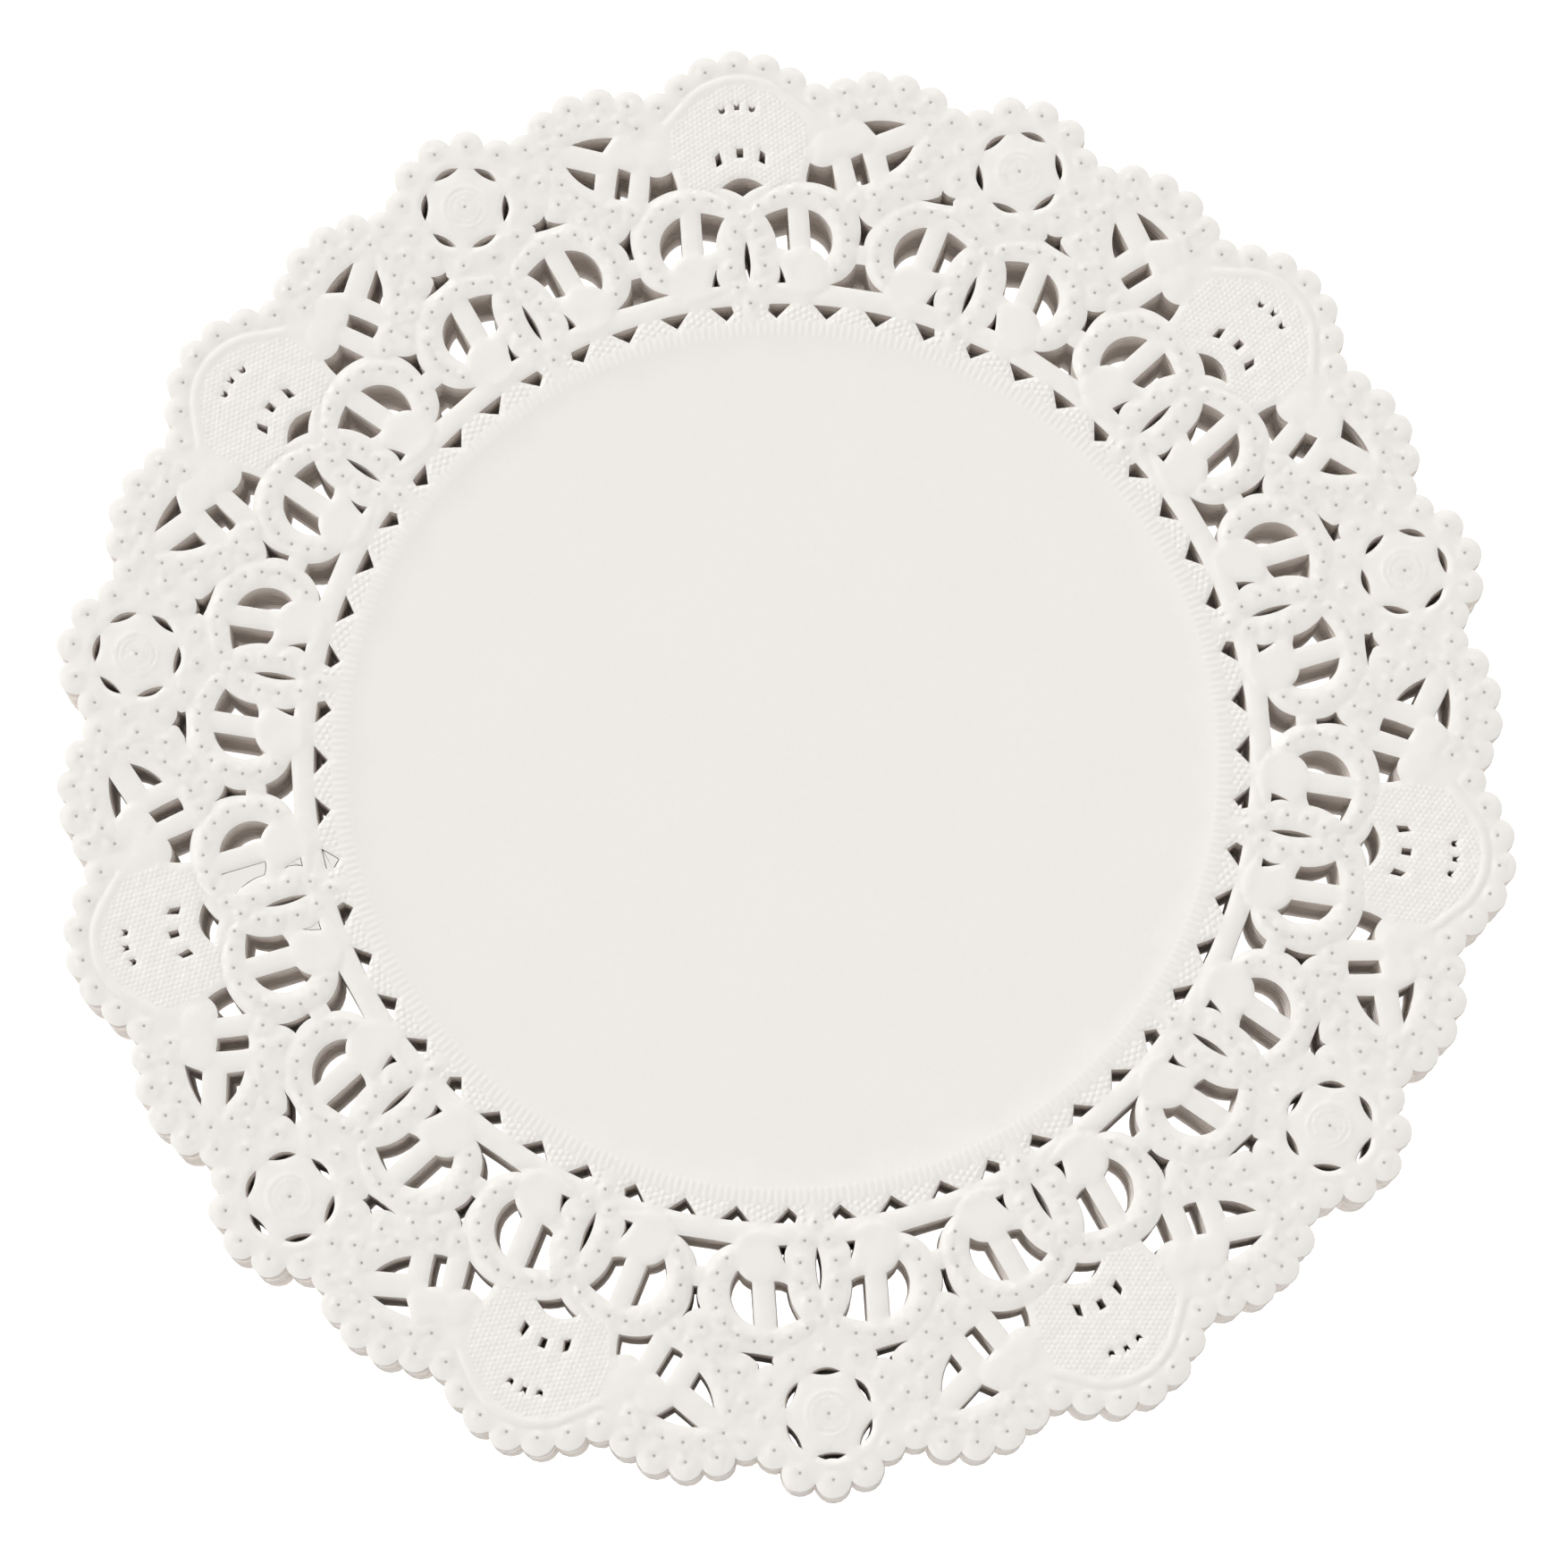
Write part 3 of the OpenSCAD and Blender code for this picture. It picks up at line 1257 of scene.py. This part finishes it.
@dataclass
class Face:
    """One face of a whole doily.

    Attributes:
        points: Its points.
        height: The height of each point's relief.
        painted_pit_shade: How much painted shade each point takes in the pit of a dot.
        triangles: Its triangles.
        crisp: Which triangles show as facets.
    """

    points: np.ndarray
    height: np.ndarray
    painted_pit_shade: np.ndarray
    triangles: np.ndarray
    crisp: np.ndarray

    @staticmethod
    def repeated(half: HalfRepeat, pricked: bool) -> "Face":
        """The half repeat mirrored and turned into a whole face.

        Args:
            half: The mesh of the half repeat.
            pricked: True for a face whose dots each hold a small pricked pit.

        Returns:
            The face, with the copies welded along their mirror lines.
        """
        lace = half.lace
        relief = lace.relief(half.points, half.edge, pricked)
        # Painted shade for each dot's pit: strongest at the dot's centre and gone 0.2 mm out.
        painted_pit_shade = 1 - smooth(lace.dot_distance(half.points), 0.0, 0.2)
        crisp = lace.crisp(half.points[half.triangles].mean(1))
        points, triangles = [], []
        for k in range(REPEATS):
            angle = -HALF_TURN + 2 * HALF_TURN * k
            for flip in (False, True):
                base = mirrored(half.points) if flip else half.points
                turned_over = half.triangles[:, ::-1] if flip else half.triangles
                triangles.append(turned_over + len(points) * len(base))
                points.append(turned(base, angle))
        copies = len(points)
        points = np.concatenate(points)
        first, back = Face.welded(points)
        triangles = back[np.concatenate(triangles)]
        whole = (triangles[:, 0] != triangles[:, 1]) & (triangles[:, 1] != triangles[:, 2])
        whole &= triangles[:, 2] != triangles[:, 0]
        key = np.sort(triangles, axis=1)
        _, twin, count = np.unique(key, axis=0, return_inverse=True, return_counts=True)
        whole &= count[twin.reshape(-1)] == 1
        return Face(
            points[first], np.tile(relief, copies)[first], np.tile(painted_pit_shade, copies)[first],
            triangles[whole], np.tile(crisp, copies)[whole],
        )

    @staticmethod
    def welded(points: np.ndarray) -> tuple[np.ndarray, np.ndarray]:
        """Joins points that coincide.

        Args:
            points: The points.

        Returns:
            The index of each kept point, and for every point the place of its kept twin.
        """
        grid = np.floor(points * 500 + 0.5).astype(np.int64)
        place: dict[tuple[int, int], int] = {}
        first, back = [], np.empty(len(points), np.int64)
        for k, (x, y) in enumerate(grid.tolist()):
            twin = -1
            for dx in (0, 1, -1):
                for dy in (0, 1, -1):
                    found = place.get((x + dx, y + dy))
                    if found is not None and np.abs(points[first[found]] - points[k]).max() < 1e-3:
                        twin = found
            if twin < 0:
                twin = len(first)
                place[(x, y)] = twin
                first.append(k)
            back[k] = twin
        return np.array(first), back

    def rim(self) -> np.ndarray:
        """The face's open sides, each as the two indices in the order of its triangle.

        Returns:
            A row of two indices for each side.
        """
        sides = self.triangles[:, [0, 1, 1, 2, 2, 0]].reshape(-1, 2)
        key = np.sort(sides, axis=1)
        _, index, count = np.unique(key, axis=0, return_index=True, return_counts=True)
        return sides[index[count == 1]]


@dataclass
class Doily:
    """A whole doily as a closed mesh: embossed upper face, plainer under face and cut edges."""

    lace: Lace
    upper: Detail
    lower: Detail
    flat_foot: bool = False
    uncut: tuple[UncutPiece, ...] = ()
    top: float = 0.33
    bottom: float = -0.27
    wave: float = 0.05
    pucker: float = 0.065

    def uneven(self, points: np.ndarray) -> np.ndarray:
        """The paper's own unevenness: slow waves, and fine puckers in the lace.

        Args:
            points: Points of the half repeat.

        Returns:
            A height for each point, in millimetres.
        """
        found = np.empty(len(points))
        radius = np.hypot(*points.T)
        lace = smooth(radius, 60.0, 68.0) * self.pucker
        for k, (x, y) in enumerate(points.tolist()):
            slow = noise.noise(Vector((x / 28.0, y / 28.0, 3.7)))
            fine = noise.noise(Vector((x / 1.7, y / 1.7, 11.3)))
            finer = noise.noise(Vector((x / 0.9, y / 0.9, 5.1)))
            found[k] = self.wave * slow + lace[k] * (fine + 0.5 * finer)
        return found

    def mesh(self, name: str, unit: float) -> bpy.types.Mesh:
        """Builds the mesh.

        Args:
            name: Name of the mesh.
            unit: Metres to one pattern millimetre.

        Returns:
            The mesh, with its cut edges as material 1 and the painted shade of the dots' pits as an
            attribute.
        """
        shown = self.upper is Detail.SHOWN
        upper = Face.repeated(HalfRepeat(self.lace, self.upper), shown)
        lower = upper
        if self.lower is not self.upper:
            lower = Face.repeated(HalfRepeat(self.lace, self.lower), False)
        z_up = self.top + upper.height + self.uneven(upper.points)
        z_low = self.bottom + lower.height + self.uneven(lower.points)
        if self.flat_foot:
            z_low = np.maximum(z_low, 0.0)
            z_up = np.maximum(z_up, 0.12)
        rim = upper.rim()
        where = {key: k for k, key in enumerate(map(tuple, np.round(lower.points, 3).tolist()))}
        ends = np.unique(rim)
        keys = np.round(upper.points, 3).tolist()
        under = {int(k): where[tuple(keys[k])] + len(upper.points) for k in ends}
        walls = [(int(b), int(a), under[int(a)], under[int(b)]) for a, b in rim]
        points = [np.column_stack([upper.points, z_up]), np.column_stack([lower.points, z_low])]
        faces = upper.triangles.tolist() + (lower.triangles[:, ::-1] + len(upper.points)).tolist()
        for piece in self.uncut:
            self.add_uncut(piece, points, faces)
        points = np.concatenate(points)
        mesh = bpy.data.meshes.new(name)
        mesh.from_pydata((points * unit).tolist(), [], faces + walls)
        flat = np.zeros(len(faces) + len(walls), bool)
        flat[: len(upper.triangles)] = upper.crisp & shown
        flat[len(upper.triangles) + len(lower.triangles): len(faces)] = True
        # Painted shade of the dots' pits, kept for the upper face's points only.
        painted_pit_shade = np.zeros(len(points))
        painted_pit_shade[: len(upper.points)] = upper.painted_pit_shade
        self.dress_faces(mesh, len(faces), flat, painted_pit_shade)
        return mesh

    @staticmethod
    def add_uncut(piece: UncutPiece, points: list[np.ndarray], faces: list) -> None:
        """Adds a piece of waste as a thin closed plate.

        Args:
            piece: The piece.
            points: The mesh's points so far; the plate's are added.
            faces: The mesh's faces so far; the plate's are added.
        """
        start = sum(len(p) for p in points)
        outline = piece.outline()
        x, y = outline.T
        if float((x * np.roll(y, -1) - np.roll(x, -1) * y).sum()) < 0:
            outline = outline[::-1]
        n = len(outline)
        for level in (piece.top, piece.bottom):
            points.append(np.column_stack([outline, np.full(n, level)]))
        faces.append(list(range(start, start + n)))
        faces.append(list(range(start + 2 * n - 1, start + n - 1, -1)))
        for k in range(n):
            after = (k + 1) % n
            faces.append([start + after, start + k, start + n + k, start + n + after])

    def dress_faces(
        self, mesh: bpy.types.Mesh, wall_start: int, flat: np.ndarray, painted_pit_shade: np.ndarray
    ) -> None:
        """Marks the cut edges and stores the painted shade of the dots' pits.

        Args:
            mesh: The doily's mesh.
            wall_start: Index of the first face of the cut edges.
            flat: Which faces show as facets.
            painted_pit_shade: How much painted shade each point takes in a dot's pit.
        """
        count = len(mesh.polygons)
        wall = np.arange(count) >= wall_start
        mesh.polygons.foreach_set("material_index", wall.astype(np.int32))
        mesh.polygons.foreach_set("use_smooth", ~flat)
        # The painted shade of the dots' pits, stored as a point attribute for the paper's colour.
        mesh.attributes.new("painted_pit_shade", "FLOAT", "POINT").data.foreach_set("value", painted_pit_shade.astype(np.float32))
        loops = np.empty(len(mesh.loops), np.int32)
        mesh.loops.foreach_get("edge_index", loops)
        starts = np.empty(count, np.int32)
        mesh.polygons.foreach_get("loop_start", starts)
        sharp = np.zeros(len(mesh.edges), bool)
        first = starts[wall_start:]
        sharp[loops[first]] = True
        sharp[loops[first + 2]] = True
        mesh.attributes.new("sharp_edge", "BOOLEAN", "EDGE").data.foreach_set("value", sharp)
        mesh.update()

    def flat_area(self, mesh: bpy.types.Mesh) -> float:
        """Area of the cut paper in square metres, half of the closed mesh without its edges.

        Args:
            mesh: The doily's mesh.

        Returns:
            The area.
        """
        area = np.empty(len(mesh.polygons))
        mesh.polygons.foreach_get("area", area)
        index = np.empty(len(mesh.polygons), np.int32)
        mesh.polygons.foreach_get("material_index", index)
        return float(area[index == 0].sum() / 2)


# ---------------------------------------------------------------- finishes


class Field:
    """A value that varies over a surface. Sums and products of fields add their nodes."""

    def __init__(self, shader: "Nodes", socket: bpy.types.NodeSocket) -> None:
        """Wraps a node's output."""
        self.shader = shader
        self.socket = socket

    def _math(self, operation: str, first: "Field | float", second: "Field | float") -> "Field":
        """A Math node on two values."""
        made = self.shader.node("ShaderNodeMath", {"operation": operation}, {0: first, 1: second})
        return Field(self.shader, made.outputs[0])

    def __add__(self, other: "Field | float") -> "Field":
        """Sum."""
        return self._math("ADD", self, other)

    __radd__ = __add__

    def __mul__(self, other: "Field | float") -> "Field":
        """Product."""
        return self._math("MULTIPLY", self, other)

    __rmul__ = __mul__

    def __sub__(self, other: "Field | float") -> "Field":
        """Difference."""
        return self._math("SUBTRACT", self, other)

    def __rsub__(self, other: float) -> "Field":
        """A number less the field."""
        return self._math("SUBTRACT", other, self)


Colour = tuple[float, float, float]


class Nodes:
    """The nodes of a material or of the sky."""

    def __init__(self, tree: bpy.types.NodeTree) -> None:
        """Empties the tree."""
        self.tree = tree
        self.tree.nodes.clear()

    def node(self, kind: str, settings: dict | None = None, sockets: dict | None = None) -> bpy.types.Node:
        """Adds a node.

        Args:
            kind: The node's type.
            settings: Its properties, set first. "stops" holds a ramp's places with their levels.
            sockets: A value, a colour or a field for each input, by name or by number.

        Returns:
            The node.
        """
        made = self.tree.nodes.new(kind)
        for key, value in (settings or {}).items():
            if key == "stops":
                self.set_stops(made.color_ramp, value)
            else:
                setattr(made, key, value)
        for key, value in (sockets or {}).items():
            if isinstance(value, Field):
                self.tree.links.new(value.socket, made.inputs[key])
            else:
                made.inputs[key].default_value = value
        return made

    @staticmethod
    def set_stops(ramp: bpy.types.ColorRamp, stops: tuple[tuple[float, float], ...]) -> None:
        """Gives a ramp its stops.

        Args:
            ramp: The ramp, which has one stop at each end.
            stops: A place and a grey level for each stop, from 0 to 1.
        """
        for k, end in ((0, stops[0]), (1, stops[-1])):
            ramp.elements[k].color = (*[end[1]] * 3, 1.0)
        for place, level in stops[1:-1]:
            ramp.elements.new(place).color = (*[level] * 3, 1.0)


class Shader(Nodes):
    """A procedural material on one Principled node."""

    def __init__(self, name: str) -> None:
        """Makes an empty material with its Principled node.

        Args:
            name: Name of the material.
        """
        self.material = bpy.data.materials.new(name)
        self.material.use_nodes = True
        super().__init__(self.material.node_tree)
        self.surface = self.node("ShaderNodeBsdfPrincipled")
        surface = Field(self, self.surface.outputs[0])
        self.node("ShaderNodeOutputMaterial", {}, {"Surface": surface})

    def noise(self, scale: float, detail: float = 2.0, stretch: Vector | None = None) -> Field:
        """A noise over the surface, between 0 and 1.

        Args:
            scale: Waves to a metre.
            detail: Finer waves added.
            stretch: A factor for each axis.

        Returns:
            The noise.
        """
        place = Field(self, self.node("ShaderNodeTexCoord").outputs["Object"])
        if stretch is not None:
            moved = self.node("ShaderNodeMapping", {}, {"Vector": place, "Scale": stretch})
            place = Field(self, moved.outputs[0])
        made = self.node("ShaderNodeTexNoise", {}, {"Vector": place, "Scale": scale, "Detail": detail})
        return Field(self, made.outputs[0])

    def mix(self, share: Field, first: "Colour | Field", second: "Colour | Field") -> Field:
        """Goes from one colour to another as the share goes from 0 to 1.

        Args:
            share: How far to go, from 0 to 1.
            first: Colour at 0.
            second: Colour at 1.

        Returns:
            The mixed colour.
        """
        made = self.node("ShaderNodeMix", {"data_type": "RGBA"}, {0: share})
        for slot, value in ((6, first), (7, second)):
            if isinstance(value, Field):
                self.tree.links.new(value.socket, made.inputs[slot])
            else:
                made.inputs[slot].default_value = (*value, 1.0)
        return Field(self, made.outputs[2])

    def finish(self, colour: Field, roughness: Field, height: Field, depth: float) -> bpy.types.Material:
        """Links the surface.

        Args:
            colour: Base colour.
            roughness: Roughness.
            height: Height of the fine bumps, from 0 to 1.
            depth: Their depth in metres.

        Returns:
            The material.
        """
        bump = self.node("ShaderNodeBump", {}, {"Height": height, "Distance": depth, "Strength": 1.0})
        made = {"Base Color": colour, "Roughness": roughness, "Normal": Field(self, bump.outputs[0])}
        for key, value in made.items():
            self.tree.links.new(value.socket, self.surface.inputs[key])
        self.surface.inputs["Specular IOR Level"].default_value = 0.25
        return self.material


@dataclass(frozen=True)
class PaperFinish:
    """Uncoated bleached paper, a little warm, with a soft fibre grain and painted shade in the pits of the
    pricked dots.
    """

    light: Colour = (0.907, 0.884, 0.842)
    shade: Colour = (0.884, 0.856, 0.813)
    # Painted shade: a dark brown laid into the pit of each pricked dot, standing in for the shade that
    # falls in a real pit.
    pricked: Colour = (0.3, 0.26, 0.22)
    roughness: float = 0.86
    grain_depth: float = 0.00004

    def material(self) -> bpy.types.Material:
        """Builds the material.

        Returns:
            The material.
        """
        shader = Shader("bleached_paper")
        cloud = shader.noise(70.0, 3.0)
        fibre = shader.noise(1400.0, 4.0)
        grain = shader.noise(5200.0, 2.0)
        share = shader.node("ShaderNodeAttribute", {"attribute_name": "painted_pit_shade"})
        painted_pit_shade = Field(shader, share.outputs["Fac"])
        colour = shader.mix(cloud * 0.6 + fibre * 0.4, self.light, self.shade)
        # Painted shade: each dot's pit is darkened in the colour by the painted pit shade attribute.
        colour = shader.mix(painted_pit_shade * 0.85, colour, self.pricked)
        roughness = fibre * 0.1 + (self.roughness - 0.05)
        return shader.finish(colour, roughness, fibre * 0.6 + grain * 0.4, self.grain_depth)


@dataclass(frozen=True)
class CutEdgeFinish:
    """The punched edge of the paper, a little darker and warmer, with its layers just showing."""

    light: Colour = (0.885, 0.822, 0.772)
    shade: Colour = (0.815, 0.745, 0.69)
    roughness: float = 0.93
    layer_depth: float = 0.00005

    def material(self) -> bpy.types.Material:
        """Builds the material.

        Returns:
            The material.
        """
        shader = Shader("cut_paper_edge")
        layers = shader.noise(1.0, 3.0, Vector((260.0, 260.0, 9000.0)))
        wear = shader.noise(500.0, 3.0)
        colour = shader.mix(layers * 0.7 + wear * 0.3, self.light, self.shade)
        return shader.finish(colour, wear * 0.08 + (self.roughness - 0.04), layers, self.layer_depth)


@dataclass(frozen=True)
class TableFinish:
    """A plain white surface that glows a little, so that it stays white under the stack."""

    colour: Colour = (0.9, 0.9, 0.9)
    glow: float = 1.1

    def material(self) -> bpy.types.Material:
        """Builds the material.

        Returns:
            The material.
        """
        shader = Shader("white_table")
        speck = shader.noise(40.0, 2.0)
        colour = shader.mix(speck, self.colour, tuple(0.99 * c for c in self.colour))
        shader.surface.inputs["Emission Color"].default_value = (1.0, 1.0, 1.0, 1.0)
        shader.surface.inputs["Emission Strength"].default_value = self.glow
        return shader.finish(colour, speck * 0.1 + 0.8, speck, 0.00001)


# ---------------------------------------------------------------- the stack


@dataclass
class DoilyStack:
    """Doilies that lie loosely on one another, none quite square with the next."""

    ring: float
    shift: float = 0.0001
    twist: float = 0.05
    slide: float = 0.0004
    paper: PaperFinish = PaperFinish()
    cut_edge: CutEdgeFinish = CutEdgeFinish()

    @property
    def nodes(self) -> list[str]:
        """Names of the doilies, from the bottom up."""
        return sorted(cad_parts)

    def drift(self, k: int) -> tuple[float, float, float]:
        """How far a doily lies off the stack's line.

        Args:
            k: Its place from the bottom, from 0.

        Returns:
            The shift along X and Y in metres, and the twist in degrees.
        """
        slow = 2 * math.pi * k / 13.0
        x = self.shift * (math.sin(slow + 0.4) + 0.25 * math.sin(2.4 * k))
        y = self.shift * (math.cos(1.3 * slow) + 0.25 * math.cos(1.7 * k))
        y -= self.slide * (1 - k / (len(self.nodes) - 1))
        return x, y, self.twist * math.sin(0.8 * slow + 1.0)

    def build(self) -> None:
        """Builds every doily, dresses it and gives it to its body."""
        lace = Lace()
        unit = self.ring / RING_MM
        looks = (self.paper.material(), self.cut_edge.material())
        meshes = {
            "foot": Doily(lace, Detail.STACKED, Detail.STACKED, flat_foot=True),
            "middle": Doily(lace, Detail.STACKED, Detail.STACKED),
            "top": Doily(lace, Detail.SHOWN, Detail.UNDER, uncut=self.waste(), bottom=-0.24),
        }
        built: dict[str, bpy.types.Mesh] = {}
        names = self.nodes
        for k, node in enumerate(names):
            kind = "foot" if k == 0 else "top" if k == len(names) - 1 else "middle"
            if kind not in built:
                built[kind] = meshes[kind].mesh(f"lace_{kind}", unit)
                for look in looks:
                    built[kind].materials.append(look)
                LOG.info("mesh %s: %d faces", kind, len(built[kind].polygons))
            self.lay(node, k, built[kind], meshes[kind], len(names))

    @staticmethod
    def waste() -> tuple[UncutPiece, ...]:
        """The waste left in the top doily, all of it round one fan's line.

        Returns:
            The pieces.
        """
        loops, edge = LoopPair(), InnerEdge()
        line, centre = 10 * HALF_TURN, (0.0, loops.centre_r)
        return (
            UncutPiece(loops.inner_hole, centre, line, 0),
            UncutPiece(loops.slit, centre, line, 0),
            UncutPiece(loops.slit, centre, line, 2, flip=True),
            UncutPiece(edge.spine_cut, (0.0, edge.cut_r), line + HALF_TURN / 8, 3),
        )

    def lay(self, node: str, k: int, mesh: bpy.types.Mesh, doily: Doily, count: int) -> None:
        """Lays one doily in its place.

        Args:
            node: Name of the CAD node that it replaces.
            k: Its place from the bottom, from 0.
            mesh: Its mesh.
            doily: What the mesh was made from.
            count: How many doilies there are.
        """
        low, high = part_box(node)
        piece = bpy.data.objects.new(f"paper_{node}", mesh)
        bpy.context.scene.collection.objects.link(piece)
        x, y, twist = self.drift(k) if k < count - 1 else (0.0, 0.0, 0.0)
        turn = Matrix.Rotation(math.radians(twist), 4, "Z")
        piece.matrix_world = Matrix.Translation((x, y, low.z)) @ turn
        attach(piece, node)
        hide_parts(node)
        doily.flat_area(mesh)
        LOG.info("%s rides on %s", piece.name, node)


# ---------------------------------------------------------------- the studio


@dataclass
class Studio:
    """A white table, an even sky of soft light, one large lamp and the camera."""

    ring: float
    top: float
    elevation: float = 79.17
    azimuth: float = -6.47
    roll: float = 2.554
    distance: float = 7.083
    aim: float = -0.037
    lens: float = 106.73
    sky: tuple[tuple[float, float], ...] = (
        (0.0, 0.8), (0.003, 0.8), (0.006, 3.4), (0.12, 3.4), (0.16, 0.72), (0.45, 0.5), (1.0, 0.27),
    )
    key: float = 2.0
    key_spread: float = 20.0
    key_from: tuple[float, float, float] = (-0.6, 0.6, 0.98)
    table: TableFinish = TableFinish()

    def build(self) -> None:
        """Builds the table, the lights and the camera."""
        self.lay_table()
        self.light()
        self.place_camera()
        bpy.context.scene.view_settings.view_transform = "Standard"

    def lay_table(self) -> None:
        """A wide table top just under the stack."""
        half = 40 * self.ring
        mesh = bpy.data.meshes.new("table")
        corners = [(-half, -half, 0), (half, -half, 0), (half, half, 0), (-half, half, 0)]
        mesh.from_pydata(corners, [], [(0, 1, 2, 3)])
        mesh.materials.append(self.table.material())
        table = bpy.data.objects.new("table", mesh)
        bpy.context.scene.collection.objects.link(table)
        table.location.z = -0.0001
        table.visible_diffuse = False

    def light(self) -> None:
        """Soft light from the whole sky above, and a large lamp high on the left."""
        world = bpy.data.worlds.new("sky")
        bpy.context.scene.world = world
        world.use_nodes = True
        sky = Nodes(world.node_tree)
        place = Field(sky, sky.node("ShaderNodeTexCoord").outputs["Generated"])
        height = Field(sky, sky.node("ShaderNodeSeparateXYZ", {}, {0: place}).outputs["Z"])
        level = Field(sky, sky.node("ShaderNodeValToRGB", {"stops": self.sky}, {0: height}).outputs[0])
        light = Field(sky, sky.node("ShaderNodeBackground", {}, {"Color": level}).outputs[0])
        sky.node("ShaderNodeOutputWorld", {}, {"Surface": light})
        lamp = bpy.data.lights.new("soft_box", "SUN")
        lamp.energy = self.key
        lamp.angle = math.radians(self.key_spread)
        soft_box = bpy.data.objects.new("soft_box", lamp)
        bpy.context.scene.collection.objects.link(soft_box)
        direction = Vector(self.key_from).normalized()
        soft_box.location = direction
        soft_box.rotation_mode = "QUATERNION"
        soft_box.rotation_quaternion = direction.to_track_quat("Z", "Y")

    def place_camera(self) -> None:
        """The camera, a little in front of straight above."""
        a, e = math.radians(self.azimuth), math.radians(self.elevation)
        back = Vector((math.sin(a) * math.cos(e), -math.cos(a) * math.cos(e), math.sin(e)))
        data = bpy.data.cameras.new("camera")
        data.lens, data.sensor_width = self.lens, 36.0
        camera = bpy.data.objects.new("camera", data)
        bpy.context.scene.collection.objects.link(camera)
        camera.location = Vector((0.0, self.aim * self.ring, self.top)) + back * self.distance * self.ring
        camera.rotation_mode = "QUATERNION"
        turn = Quaternion((0.0, 0.0, 1.0), math.radians(self.roll))
        camera.rotation_quaternion = (-back).to_track_quat("-Z", "Y") @ turn
        bpy.context.scene.camera = camera


def main() -> None:
    """Builds the stack and the studio."""
    logging.basicConfig(level=logging.INFO, format="%(message)s")
    names = sorted(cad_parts)
    ring = -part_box(names[0])[0].y / 1.125
    DoilyStack(ring).build()
    Studio(ring, top=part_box(names[-1])[1].z).build()


if __name__ == "__main__":
    main()
